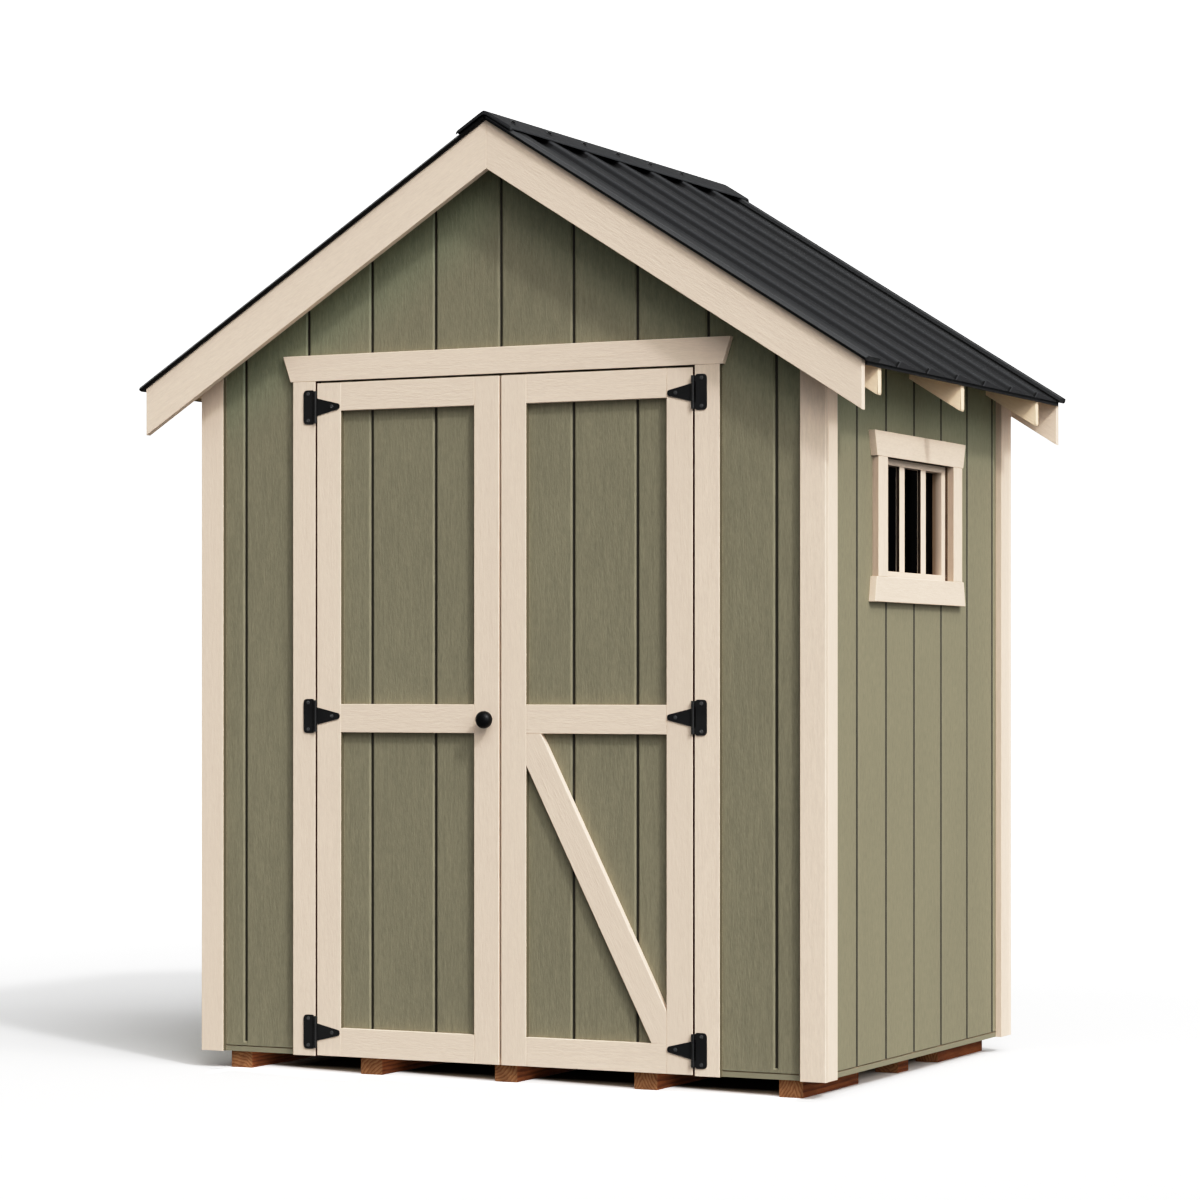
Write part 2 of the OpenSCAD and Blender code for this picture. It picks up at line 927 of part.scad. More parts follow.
module door_knob() {
    r = knob_d / 2;
    color(iron_black)
        translate([-leaf_in - knob_set, trim_front_y, knob_z])
            rotate([90, 0, 0])
                rotate_extrude($fn = round_fn)
                    polygon([
                        [0, 0],
                        [r * 0.75, 0],
                        [r * 0.75, 4],
                        [r * 0.40, 7],
                        [r * 0.36, 18],
                        [r * 0.72, 23],
                        [r * 0.97, 29],
                        [r, 34],
                        [r * 0.93, 40],
                        [r * 0.68, 46],
                        [r * 0.30, 49],
                        [0, 49.6]
                    ]);
}

runner_blocks();
floor_deck();
front_wall_left();
front_wall_right();
front_gable();
rear_wall();
left_wall();
right_wall();
front_frame();
rear_frame();
left_frame();
right_frame();
rafters();
ridge_board();
roof_deck();
roof_sheet_left();
roof_sheet_right();
ridge_cap();
front_verge();
rear_verge();
eave_flashings();
front_barge_boards();
rear_barge_boards();
corner_boards_front();
corner_boards_rear();
corner_boards_left();
corner_boards_right();
door_casings();
door_header();
window_casings();
window_header();
window_sill();
window_sash();
window_bars();
window_glass();
hinge_plates();
left_door_panel();
left_door_frame();
left_hinge_straps();
door_knob();
right_door_panel();
right_door_frame();
right_door_brace();
right_hinge_straps();
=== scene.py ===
import json
import math

import bpy
import numpy as np
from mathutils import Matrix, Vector
from mathutils.geometry import convex_hull_2d

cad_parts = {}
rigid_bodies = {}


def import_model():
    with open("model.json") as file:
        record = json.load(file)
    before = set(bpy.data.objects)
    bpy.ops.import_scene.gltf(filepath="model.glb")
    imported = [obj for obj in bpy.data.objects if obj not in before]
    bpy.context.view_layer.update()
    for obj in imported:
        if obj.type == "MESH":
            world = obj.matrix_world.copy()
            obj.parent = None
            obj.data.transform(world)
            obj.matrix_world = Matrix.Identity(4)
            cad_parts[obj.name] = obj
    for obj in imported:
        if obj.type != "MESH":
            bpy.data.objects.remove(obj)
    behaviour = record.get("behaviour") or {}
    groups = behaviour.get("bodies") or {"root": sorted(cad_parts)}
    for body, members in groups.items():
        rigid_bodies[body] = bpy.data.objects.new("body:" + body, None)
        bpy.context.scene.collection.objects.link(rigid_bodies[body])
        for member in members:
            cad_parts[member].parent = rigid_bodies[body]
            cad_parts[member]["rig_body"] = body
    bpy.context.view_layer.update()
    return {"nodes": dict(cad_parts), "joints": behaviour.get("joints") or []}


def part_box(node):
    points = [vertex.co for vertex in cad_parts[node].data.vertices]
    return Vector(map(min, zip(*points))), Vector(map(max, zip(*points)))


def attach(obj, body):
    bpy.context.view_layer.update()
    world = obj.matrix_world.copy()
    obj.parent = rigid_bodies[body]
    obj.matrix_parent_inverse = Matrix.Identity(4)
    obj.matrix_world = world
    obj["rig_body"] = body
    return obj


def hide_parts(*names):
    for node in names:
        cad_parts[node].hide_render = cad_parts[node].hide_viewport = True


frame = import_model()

BODY = {node: shape["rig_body"] for node, shape in frame["nodes"].items()}
DRAW = np.random.default_rng(7)
ALONG_X, ALONG_Y, ALONG_Z = 0, 1, 2

# The photograph's frame and the view fitted to it
PHOTO_PX = 1200
FOCAL_PX = 3560
HORIZON_PX = 685.7
CAMERA_AT = (4.498, -9.223, 1.077)
CAMERA_TURN = math.radians(26.19)
SENSOR_MM = 36

# Lamps, each with its power, how wide it looks, its turn round the shed and its height. Three stand
# one behind the other at the right front, from small to very wide, under an even pale sky.
FRONT_PLACE = (math.radians(58.6), math.radians(40))
LAMPS = {
    "key lamp": (1.74, math.radians(5), *FRONT_PLACE),
    "broad lamp": (3.24, math.radians(60), *FRONT_PLACE),
    "fill lamp": (1.5, math.radians(110), *FRONT_PLACE)}
SKY_POWER = 0.16

# A wide lamp opposite them shows the sides that the photograph doesn't. It lights the shed alone.
REAR_LAMP = (2.4, math.radians(60), math.radians(238.6), math.radians(30))

# Picture tone: scene brightness and the brightness shown, with a soft shoulder
TONE_WHITE = 1.45
TONE_POINTS = ((0.25, 0.25), (0.5, 0.5), (0.8, 0.735), (1.08, 0.875))

# Stage: its floor lies just under the shed and shines by itself, except in the shed's shade. Light
# reaches FRONT_IN under the front edge, and BAY_IN less at one side of each bay between runners.
STAGE_REACH = 60.0
STAGE_SIDES = 64
FLOOR_DROP = 0.0003
FLOOR_APRON = 0.05
FLOOR_PALE = 0.95
FLOOR_DEEP = 0.02
FLOOR_GLOW = 0.03
FAR_FLOOR_GLOW = 0.3
FRONT_GLOW = 1.0
BACKDROP_GLOW = 1.7
SHADE_EDGE = (-0.16, -0.02)
NEAR_EDGE = (-0.12, 0.20)
FAR_EDGE = (1.5, 6.0)
FRONT_IN = (0.13, 0.06)
FRONT_OUT = (-0.08, -0.02)
SIDE_OUT = (0.0, -0.02)
BAY_IN = 0.09

# Paints, stains and coatings, as the share of red, green and blue sent back
CREAM = (0.812, 0.650, 0.506)
# Rafter paint, paler and warmer than the trim's, which paints the bounce light under the eaves
BOUNCE_LIT_RAFTER_CREAM = (0.96, 0.73, 0.50)
OLIVE = (0.207, 0.188, 0.118)
# Siding paint cut in on the lit right sides of front boards, darkened there as painted shade
SHADED_CUT_IN_OLIVE = (0.115, 0.096, 0.054)
# Painted shade in the siding's grooves
GROOVE_SHADE_COLOUR = (0.016, 0.013, 0.007)
# Painted shade in the gaps between boards and under headers, a dark red brown
GAP_SHADE_BROWN = (0.042, 0.013, 0.009)
# Sealed cut edges of the siding panels, kept dark as painted shade in the gaps round the window;
# its darker tints are the painted shade on the window's bars and header
PANEL_EDGE = (0.085, 0.050, 0.030)
PANEL_BACK = (0.30, 0.20, 0.115)
SOFTWOOD = (0.52, 0.36, 0.20)
SOFTWOOD_LATE = (0.36, 0.22, 0.105)
STAIN = (0.22, 0.064, 0.020)
STAIN_LATE = (0.055, 0.014, 0.006)
STAIN_ENDS = ((0.235, 0.105, 0.043), (0.135, 0.050, 0.018))
CHARCOAL = (0.0118, 0.0123, 0.0132)
VERGE_GREY = (0.029, 0.030, 0.0312)
# The cut ends of the roof sheets, paler than the coating as a painted highlight on the rib ends
LIT_RIB_END_GREY = (0.040, 0.041, 0.044)
BLACK_IRON = (0.0042, 0.0042, 0.0045)
SCREW_STEEL = (0.035, 0.036, 0.037)
ROOF_DUST = (0.32, 0.31, 0.29)
# A dark tint on the glass, which also paints the shade inside the shed
GLASS_SHADE_TINT = (0.10, 0.097, 0.092)
GLASS_MIRROR = (0.6, 0.6, 0.6)
GLASS_DUST = (0.45, 0.44, 0.40)
GLASS_BEND = 1.04

# How far marks reach across a board, through it and along it, or along X, Y and Z
FIBRE = (0.0042, 0.0042, 0.022)
STREAK = (0.0080, 0.0080, 0.07)
PAINT_CLOUD = (0.16, 0.16, 0.5)
RING_WAVE = (0.05, 0.05, 0.5)
PORE = (0.0016, 0.0016, 0.05)
MOTTLE = (0.03, 0.03, 0.12)
HEART_OFF = (0.11, 0.13)
STRANDS = ((0.012, 0.012, 0.085), (0.085, 0.085, 0.014))
STRAND_WAVE = (0.05, 0.05, 0.05)
STRAND_FIBRE = (0.004, 0.004, 0.02)
COAT_CLOUD = (0.12, 0.12, 0.12)
GLASS_FILM = (0.05, 0.05, 0.16)

# The span that most of a noise lies in, and how far a side turns until it faces along an axis
NOISE_SPAN = (0.3, 0.7)
FACING_SPAN = (0.4, 0.6)

# Relief of rough surfaces
TIMBER_RELIEF = 0.0006
STRAND_RELIEF = 0.0006
DECK_RELIEF = 0.0005

# Painted shade: paint deep in the window, as a share of the paint's own colour, and how much
# of that painted shade lies on the front sides and faces of the right wall's boards, and on the
# right sides of the front's
SIDE_SHADE = (0.20, 0.15, 0.11)
FRONT_SIDE_SHADE = 0.26
CASING_SIDE_SHADE = 0.62
SASH_SHADE = 0.30
SASH_DEEP_SHADE = 1.5
RIGHT_FACE_SHADE = 0.085
RIGHT_SIDE_SHADE = 0.24
LEAF_SIDE_SHADE = 0.10

# Painted shade close under the roof, where the siding looks greener: the share of each colour, and
# how far below the crown of the roof boarding it starts and is full, measured along the roof's
# slope
EAVE_SHADE_TINT = (1.00, 1.20, 1.16)
EAVE_SHADE_LOW = 0.36
EAVE_SHADE_HIGH = 0.08

# Woodworking
EASE = 0.0013
END_EASE = 0.0004
ROUGH_EASE = 0.002
ROUGH_END_EASE = 0.0015
EASE_STEPS = 3
END_SHARE = 0.3
FULL_SIDE = 0.99
WELD = 0.00005
STRAIGHT = 0.001
CREASE = math.radians(20)
GRAIN_SPREAD = 3.0
STRIP = 2

# Siding
GROOVE_PITCH = 0.2032
FRONT_GROOVES = (-0.8188, -0.6136, -0.4104, -0.2102, -0.0080, 0.2122, 0.4024, 0.6096, 0.8048)
REAR_GROOVES = np.arange(-4, 5) * GROOVE_PITCH
SIDE_GROOVES = 0.2455 + np.arange(6) * 0.2096
GROOVE_HALF = 0.008
GROOVE_FLOOR_HALF = 0.003
GROOVE_DEEP = 0.005
GROOVE_STOP = 0.008
GROOVE_RUNOUT = 0.004
GROOVE_MARGIN = 1.3
# How far up the side walls' groove sides the painted shade reaches
SIDE_GROOVE_SHADE = 6.0
# How much darker the gable and door panels are painted than the side walls, a painted shade
FRONT_SHADE_TONE = 0.5

# Roofing
PITCH = math.radians(32.2)
FALL, LEAN, RISE = math.tan(PITCH), math.cos(PITCH), math.sin(PITCH)
SEAT = 0.0003
SHEET_T = 0.002
RIB_H = 0.016
RIB_COUNT = 6
RIB_FRONT = 0.005
# Painted shade on the rib fronts: where it lies and how dark (RIB_FRONT_DARK); the width of the
# painted highlight on each crest (RIB_CREST); how far from the eave the fronts are black (RIB_TICK)
RIB_FRONT_SHADE = (-0.0005, 0.004)
RIB_TOP = 0.024
RIB_BACK = 0.65
RIB_FRONT_DARK = 0.55
RIB_CREST = 0.010
RIB_LOW = 0.8
RIB_TICK = 0.005
RIB_NEAR = (-0.006, 0.040, 0.0015)
RIB_FAR = 0.042
RIB_END = 0.95
CAP_SHADE = 0.004
FIRST_PAN = 0.127
RIB_ROUND = 0.002
VERGE_H = 0.013
VERGE_LOW = 0.002
VERGE_EDGE_H = 0.0070
VERGE_DRIP = 0.004
VERGE_BEVEL = 0.010
VERGE_RIM = 0.0148
VERGE_GREY_W = 0.045
VERGE_INNER = 0.0015
VERGE_INNER_DARK = 0.48
# Width of the black painted shade on the sheet beside the rear verge
VERGE_GAP_SHADE = 0.024
REAR_VERGE_H = 0.0155
# Painted shade on the rear verge: how wide its outer rim is black, and up to what height its foot
# is
REAR_DARK_W = 0.024
REAR_FOOT = 0.006
CAP_T = 0.003
CAP_ROUND = 0.006
CAP_HEM = 0.005
CAP_HEM_DROP = 0.35
CAP_FOLD = 0.02
CAP_DRAPE = 0.0008
CAP_LIP = 0.007
CAP_LIP_T = 0.002
CAP_DRAPE_REACH = 0.06
FIXING_LEAD = 0.145
FIXING_OUT = 0.55
FIXING_SEAT = 0.9
WASHER_R = 0.0095
WASHER_T = 0.0018
HEX_R = 0.0058
HEX_H = 0.0060
HEX_EASE = 0.0006

# Hinges
IRON_T = 0.003
IRON_EASE = 0.0007
IRON_CORNER = 0.0004
STRAP_TIP = 0.014
STRAP_H = 0.050
STRAP_SCREW = 0.32
BARREL_R = 0.0045
BARREL_H = 0.088
BARREL_RIM = 0.12
PLATE_ROUND = 0.012
PLATE_GAP = 0.002
PLATE_SCREW = 0.39
PLATE_SCREW_OUT = 0.001
SCREW_R = 0.0052
SCREW_SPIN = 1.5


def solids_of(node):
    """The separate solids of a CAD node, each as its corner points. Corners at one place
    are one point, and points that share a triangle take the lowest label among them,
    over and over, until no label changes."""
    mesh = frame["nodes"][node].data
    places = np.zeros(len(mesh.vertices) * 3, np.float32)
    mesh.vertices.foreach_get("co", places)
    corners = np.zeros(len(mesh.loops), np.int32)
    mesh.loops.foreach_get("vertex_index", corners)
    grid = np.round(places.reshape(-1, 3) / WELD).astype(np.int64)
    points, where = np.unique(grid, axis=0, return_inverse=True)
    triangles = where.reshape(-1)[corners.reshape(-1, 3)]
    label = np.arange(len(points))
    while True:
        lower = label.copy()
        np.minimum.at(lower, triangles.ravel(), np.repeat(label[triangles].min(1), 3))
        if (lower == label).all():
            break
        label = lower
    return [points[label == k] * WELD for k in np.unique(label)]


def outline_of(points):
    """The convex outline round flat points, anticlockwise, without points on straight edges."""
    points = np.unique(np.round(points / WELD) * WELD, axis=0)
    ring = points[convex_hull_2d([tuple(p) for p in points])]
    off = ring - ring.mean(0)
    ring = ring[np.argsort(np.arctan2(off[:, 1], off[:, 0]))]
    before, after = ring - np.roll(ring, 1, 0), np.roll(ring, -1, 0) - ring
    turn = before[:, 0] * after[:, 1] - before[:, 1] * after[:, 0]
    long = np.linalg.norm(before, axis=1) * np.linalg.norm(after, axis=1)
    return ring[np.abs(turn) > STRAIGHT * long]


def ring_quads(rings, sides):
    """The quads between rings of points that follow each other."""
    i = np.arange(sides)
    j = (i + 1) % sides
    start = (np.arange(rings - 1) * sides)[:, None]
    quads = np.stack([start + i, start + j, start + j + sides, start + i + sides], -1)
    return quads.reshape(-1, 4)


def plate(outline, low, high, ease, end_ease):
    """A plate with eased edges: the outline is carried from low to high, and drawn in near both
    faces by a quarter round, ease * (1 - sin a) at the depth ease * (1 - cos a). Edges much
    shorter than the longest are ends and are eased by end_ease."""
    edge = np.roll(outline, -1, 0) - outline
    length = np.linalg.norm(edge, axis=1)
    inward = np.stack([-edge[:, 1], edge[:, 0]], 1) / length[:, None]
    draw = np.where(length > END_SHARE * length.max(), ease, end_ease)
    n0, n1, d0, d1 = np.roll(inward, 1, 0), inward, np.roll(draw, 1), draw
    det = n0[:, 0] * n1[:, 1] - n0[:, 1] * n1[:, 0]
    shift = [d0 * n1[:, 1] - d1 * n0[:, 1], n0[:, 0] * d1 - n1[:, 0] * d0]
    shift = np.stack(shift, 1) / det[:, None]
    a = np.linspace(0, math.pi / 2, EASE_STEPS)
    inset = np.concatenate([1 - np.sin(a), 1 - np.sin(a[::-1])])
    sunk = ease * (1 - np.cos(a))
    level = np.concatenate([low + sunk, high - sunk[::-1]])
    flat = outline[None] + inset[:, None, None] * shift[None]
    depth = np.broadcast_to(level[:, None, None], flat.shape[:2] + (1,))
    sides, rings = len(outline), len(inset)
    base = np.arange(sides)
    faces = ring_quads(rings, sides).tolist()
    faces += [base[::-1].tolist(), ((rings - 1) * sides + base).tolist()]
    # How far round each ring lies on its ease: the finishes paint eased edges paler by it, a
    # painted highlight, which on paint also stands for wear
    round_off = np.concatenate([np.sin(2 * a), np.sin(2 * a[::-1])])
    wall = np.repeat(np.arange(rings - 1) == EASE_STEPS - 1, sides)
    return {"points": np.concatenate([flat, depth], 2).reshape(-1, 3), "faces": faces,
            "side": np.repeat(1 - inset, sides), "edge": np.repeat(round_off, sides),
            "wall": np.concatenate([wall, [False, False]])}


def laid(part, axes):
    """The same part with its first, second and third coordinates put along the given world axes."""
    points = np.zeros_like(part["points"])
    points[:, list(axes)] = part["points"]
    part = dict(part, points=points)
    if axes in ((0, 2, 1), (1, 0, 2), (2, 1, 0)):
        part["faces"] = [face[::-1] for face in part["faces"]]
    return part


def board(corners, ease, end_ease, across):
    """One eased board for a CAD solid: the outline of its broad side, carried across its
    thickness. Its grain runs along the outline's longest edge."""
    low, high = corners.min(0), corners.max(0)
    thin = int(np.argmin(high - low)) if across is None else across
    flat = [axis for axis in range(3) if axis != thin]
    outline = outline_of(corners[:, flat])
    part = plate(outline, low[thin], high[thin], ease, end_ease)
    edge = np.roll(outline, -1, 0) - outline
    along = edge[np.argmax(np.linalg.norm(edge, axis=1))]
    along = along / np.linalg.norm(along)
    place = part["points"][:, :2] - outline.mean(0)
    beside = place @ np.array([-along[1], along[0]])
    part["grain"] = np.stack([beside, part["points"][:, 2] - low[thin], place @ along], 1)
    part["grain"] += DRAW.uniform(0, GRAIN_SPREAD, 3)
    part["tone"] = np.full(len(part["points"]), DRAW.uniform())
    return laid(part, (flat[0], flat[1], thin))


def turned(profile, sides):
    """A profile of radius and height turned about the third axis: (r cos a, r sin a, h). It starts
    and ends on the axis, where a ring closes to one point."""
    profile = np.asarray(profile, float)
    rings = profile[1:-1]
    a = np.arange(sides) * 2 * math.pi / sides
    wall = np.stack([rings[:, :1] * np.cos(a), rings[:, :1] * np.sin(a),
                     np.broadcast_to(rings[:, 1:], (len(rings), sides))], 2)
    ends = np.array([[[0, 0, profile[k, 1]]] for k in (0, -1)])
    points = np.concatenate([ends[0], wall.reshape(-1, 3), ends[1]])
    i = np.arange(sides)
    j = (i + 1) % sides
    last = len(points) - 1
    base = np.stack([np.zeros(sides, int), 1 + j, 1 + i], 1)
    tip = np.stack([np.full(sides, last), last - sides + i, last - sides + j], 1)
    faces = (1 + ring_quads(len(rings), sides)).tolist() + base.tolist() + tip.tolist()
    return {"points": points, "faces": faces}


def slab(front, back, held=None, **marks):
    """A closed slab between two grids of points, front and back, over the cells that are held.
    Where a held cell borders one that isn't, a strip joins the two grids. Each of the marks is a
    value over the front grid and over the back grid."""
    rows, columns = front.shape[:2]
    if held is None:
        held = np.ones((rows - 1, columns - 1), bool)
    index = np.arange(rows * columns).reshape(rows, columns)
    behind = index + rows * columns
    cell = np.stack([index[:-1, :-1], index[:-1, 1:], index[1:, 1:], index[1:, :-1]], -1)[held]
    over = np.pad(held.astype(int), ((0, 0), (1, 1)))
    over = over[:, 1:] - over[:, :-1]
    upright = np.stack([index[:-1], index[1:], behind[1:], behind[:-1]], -1)
    up = np.pad(held.astype(int), ((1, 1), (0, 0)))
    up = up[1:] - up[:-1]
    level = np.stack([index[:, 1:], index[:, :-1], behind[:, :-1], behind[:, 1:]], -1)
    strips = np.concatenate([upright[over > 0], upright[over < 0][:, ::-1],
                             level[up > 0], level[up < 0][:, ::-1]])
    faces = np.concatenate([cell, cell[:, ::-1] + rows * columns, strips])
    points = np.concatenate([front.reshape(-1, 3), back.reshape(-1, 3)])
    a, b, c, d = (points[faces[:, k]] for k in range(4))
    swept = np.sum(a * np.cross(b, c)) + np.sum(a * np.cross(c, d))
    if swept < 0:
        faces = faces[:, ::-1]
    used, faces = np.unique(faces, return_inverse=True)
    part = {"points": points[used], "faces": faces.reshape(-1, 4).tolist()}
    part["material"] = np.repeat([0, 1, STRIP], [len(cell), len(cell), len(strips)])
    for key, (before, behind) in marks.items():
        part[key] = np.concatenate([before.ravel(), behind.ravel()])[used]
    return part


def moved(part, turn, place):
    """The part turned by a 3 x 3 matrix and set at a place, with its faces kept outward."""
    turn = np.asarray(turn, float)
    part = dict(part, points=part["points"] @ turn.T + np.asarray(place, float))
    if np.linalg.det(turn) < 0:
        part["faces"] = [face[::-1] for face in part["faces"]]
    return part


def joined(parts, key, size):
    """One array of a value over all parts, with zeros where a part has none."""
    return np.concatenate([np.broadcast_to(part.get(key, 0), size(part)) for part in parts])


def placed(name, data):
    """An object in the scene."""
    made = bpy.data.objects.new(name, data)
    bpy.context.scene.collection.objects.link(made)
    return made


def make_piece(name, parts, materials, node, replaces=()):
    """Joins parts into one mesh object with its attributes, which takes its body from a CAD node."""
    points = np.concatenate([part["points"] for part in parts])
    starts = np.cumsum([0] + [len(part["points"]) for part in parts[:-1]])
    faces = [[int(start) + k for k in face]
             for start, part in zip(starts, parts) for face in part["faces"]]
    mesh = bpy.data.meshes.new(name)
    mesh.from_pydata(points.tolist(), [], faces)
    mesh.polygons.foreach_set("use_smooth", np.ones(len(faces), bool))
    material_index = joined(parts, "material", lambda part: len(part["faces"]))
    mesh.polygons.foreach_set("material_index", material_index.astype(np.int32))
    for key in ("edge", "tone", "groove", "shade"):
        values = joined(parts, key, lambda part: len(part["points"])).astype(np.float32)
        mesh.attributes.new(key, "FLOAT", "POINT").data.foreach_set("value", values)
    grain = joined(parts, "grain", lambda part: part["points"].shape).astype(np.float32)
    mesh.attributes.new("grain", "FLOAT_VECTOR", "POINT").data.foreach_set("vector", grain.ravel())
    for material in materials:
        mesh.materials.append(material)
    mesh.update()
    mesh.set_sharp_from_angle(angle=CREASE)
    piece = placed(name, mesh)
    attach(piece, BODY[node])
    if replaces:
        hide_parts(*replaces)


def finish_node(node, parts, materials):
    """A finished piece in place of one CAD node."""
    make_piece("finished_" + node, parts, materials, node, [node])


class Field:
    """A value or colour over a surface, from a node's output. Sums with it grow the node tree."""

    def __init__(self, socket):
        self.socket = socket
        self.tree = socket.id_data

    def maths(self, operation, other=0.0):
        return add(self.tree, "Math", {0: self, 1: other}, operation=operation)

    def __add__(self, other):
        return self.maths("ADD", other)

    def __sub__(self, other):
        return self.maths("SUBTRACT", other)

    def __mul__(self, other):
        return self.maths("MULTIPLY", other)

    def __truediv__(self, other):
        return self.maths("DIVIDE", other)

    def __abs__(self):
        return self.maths("ABSOLUTE")


def add(tree, kind, inputs=(), output=0, **settings):
    """A shader node with its inputs set, as the field of one output. An input is set to a value,
    opaque if it is a colour, or linked where the value is a field."""
    made = tree.nodes.new("ShaderNode" + kind)
    for key, value in settings.items():
        setattr(made, key, value)
    for key, value in dict(inputs).items():
        socket = made.inputs[key]
        if isinstance(value, Field):
            tree.links.new(value.socket, socket)
        else:
            socket.default_value = (*value, 1.0) if socket.type == "RGBA" else value
    return Field(made.outputs[output])


def blank(name):
    """A new material and its empty node tree."""
    material = bpy.data.materials.new(name)
    material.use_nodes = True
    material.node_tree.nodes.clear()
    return material, material.node_tree


def shown(material, shader):
    """The material with a shader as its surface."""
    tree = material.node_tree
    end = tree.nodes.new("ShaderNodeOutputMaterial")
    tree.links.new(shader.socket, end.inputs["Surface"])
    return material


def surface(material, colour, rough, height=None, depth=0.0, gloss=0.5, more=()):
    """The material with its shader, raised by depth metres where height is 1."""
    tree = material.node_tree
    inputs = {"Base Color": colour, "Roughness": rough, "Specular IOR Level": gloss, **dict(more)}
    if height:
        raised = {"Height": height, "Distance": depth, "Strength": 1.0}
        inputs["Normal"] = add(tree, "Bump", raised)
    return shown(material, add(tree, "BsdfPrincipled", inputs))


def own(tree, name, output="Fac"):
    """A value that the mesh carries."""
    return add(tree, "Attribute", output=output, attribute_name=name)


def own_place(tree):
    return add(tree, "TexCoord", output="Object")


def shares_of(field, kind="XYZ"):
    """The three shares of a vector, or of a colour."""
    first = add(field.tree, "Separate" + kind, {0: field})
    return [Field(socket) for socket in first.socket.node.outputs]


def facing(tree, axis):
    """1 where the surface faces along an axis, either way."""
    normal = add(tree, "NewGeometry", output="Normal")
    return spread(abs(shares_of(normal)[axis]), *FACING_SPAN)


def spread(value, low, high, to_low=0.0, to_high=1.0):
    """value between low and high, carried smoothly to between to_low and to_high."""
    inputs = {"Value": value, "From Min": low, "From Max": high, "To Min": to_low,
              "To Max": to_high}
    return add(value.tree, "MapRange", inputs, interpolation_type="SMOOTHSTEP")


def blend(share, a, b, kind="MIX"):
    """Colour a carried to colour b by a share, or multiplied by it."""
    inputs = {0: share, 6: a, 7: b}
    return add(share.tree, "Mix", inputs, 2, data_type="RGBA", blend_type=kind)


def in_units(place, size):
    """A place counted in units of size along each axis."""
    inputs = {0: place, 1: [1 / s for s in size]}
    return add(place.tree, "VectorMath", inputs, operation="MULTIPLY")


def noise(place, size, detail=3.0, rough=0.55):
    """Cloudy noise whose patches measure size along each axis."""
    inputs = {"Vector": in_units(place, size), "Scale": 1.0, "Detail": detail, "Roughness": rough}
    return add(place.tree, "TexNoise", inputs, "Fac")


def tint(colour, k):
    return tuple(min(1.0, c * k) for c in colour)


def painted_wood(name, paint, contrast, emboss, rough, dark, eave_tint=None):
    """Paint over wood that was embossed with grain: fine raised fibres along the board, slow
    streaks of tone, a tone of its own for each board (on the gable and door panels a painted
    shade), paler eased edges as wear and a painted highlight, painted shade where a side is out of
    the light, and painted shade in grooves. The last argument tells how much more of each colour is
    painted in close under the roof, where the shade is greener."""
    material, tree = blank(name)
    grain = own(tree, "grain", "Vector")
    fibre = noise(grain, FIBRE, 4.0, 0.65)
    streak = noise(grain, STREAK)
    cloud = noise(grain, PAINT_CLOUD, 2.0)
    tone = spread(fibre * 0.5 + streak * 0.35 + cloud * 0.15, *NOISE_SPAN)
    colour = blend(tone, tint(paint, 1 - contrast), tint(paint, 1 + contrast))
    by_board = spread(own(tree, "tone"), 0.0, 1.0, 0.0, 0.5)
    colour = blend(by_board, colour, tint(paint, 1 - contrast * 0.8))
    wear_and_highlight = own(tree, "edge") * spread(cloud, 0.3, 0.6, 0.25, 0.7)
    colour = blend(wear_and_highlight, colour, tint(paint, 1.18))
    colour = blend(own(tree, "shade"), colour, SIDE_SHADE, "MULTIPLY")
    # Painted shade: close under the roof the paint is tinted greener, as the shade there is
    if eave_tint:
        x, _, z = shares_of(own_place(tree))
        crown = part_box("roof_deck")[1].z
        under = spread(z + abs(x) * FALL, crown - EAVE_SHADE_LOW, crown - EAVE_SHADE_HIGH)
        colour = blend(under, colour, eave_tint, "MULTIPLY")
    # Painted shade in the grooves, in the given dark colour
    colour = blend(spread(own(tree, "groove"), 0.88, 1.0), colour, dark)
    rough = spread(fibre, *NOISE_SPAN, rough + 0.07, rough - 0.07)
    return surface(material, colour, rough, fibre * 0.6 + streak * 0.4, emboss, 0.3)


def sawn_wood(name, early, late, ring, rough, gloss, ends=None):
    """Bare or stained timber: yearly rings round a heart beside the board, waved by noise, which
    show as arcs on cut ends and as lines along the faces, with fine pores along the grain. ends
    gives the two colours of cut ends that face along Y."""
    material, tree = blank(name)
    grain = own(tree, "grain", "Vector")
    across, through, _ = shares_of(grain)
    x = across.maths("PINGPONG", HEART_OFF[0])
    y = through.maths("PINGPONG", HEART_OFF[1])
    turns = (x * x + y * y).maths("SQRT") / ring + noise(grain, RING_WAVE) * 2.5
    rings = spread(turns.maths("FRACT"), 0.25, 0.95)
    pores = noise(grain, PORE)
    share = rings * 0.55 + pores * 0.45
    colour = blend(share, early, late)
    if ends:
        colour = blend(facing(tree, ALONG_Y), colour, blend(rings, *ends))
    mottle = spread(noise(grain, MOTTLE, 2.0), 0.35, 0.7, 0.0, 0.35)
    colour = blend(mottle, colour, tint(late, 0.8))
    colour = blend(own(tree, "edge") * 0.25, colour, tint(early, 1.25))
    rough = spread(pores, *NOISE_SPAN, rough - 0.08, rough + 0.08)
    return surface(material, colour, rough, share + pores, TIMBER_RELIEF, gloss)


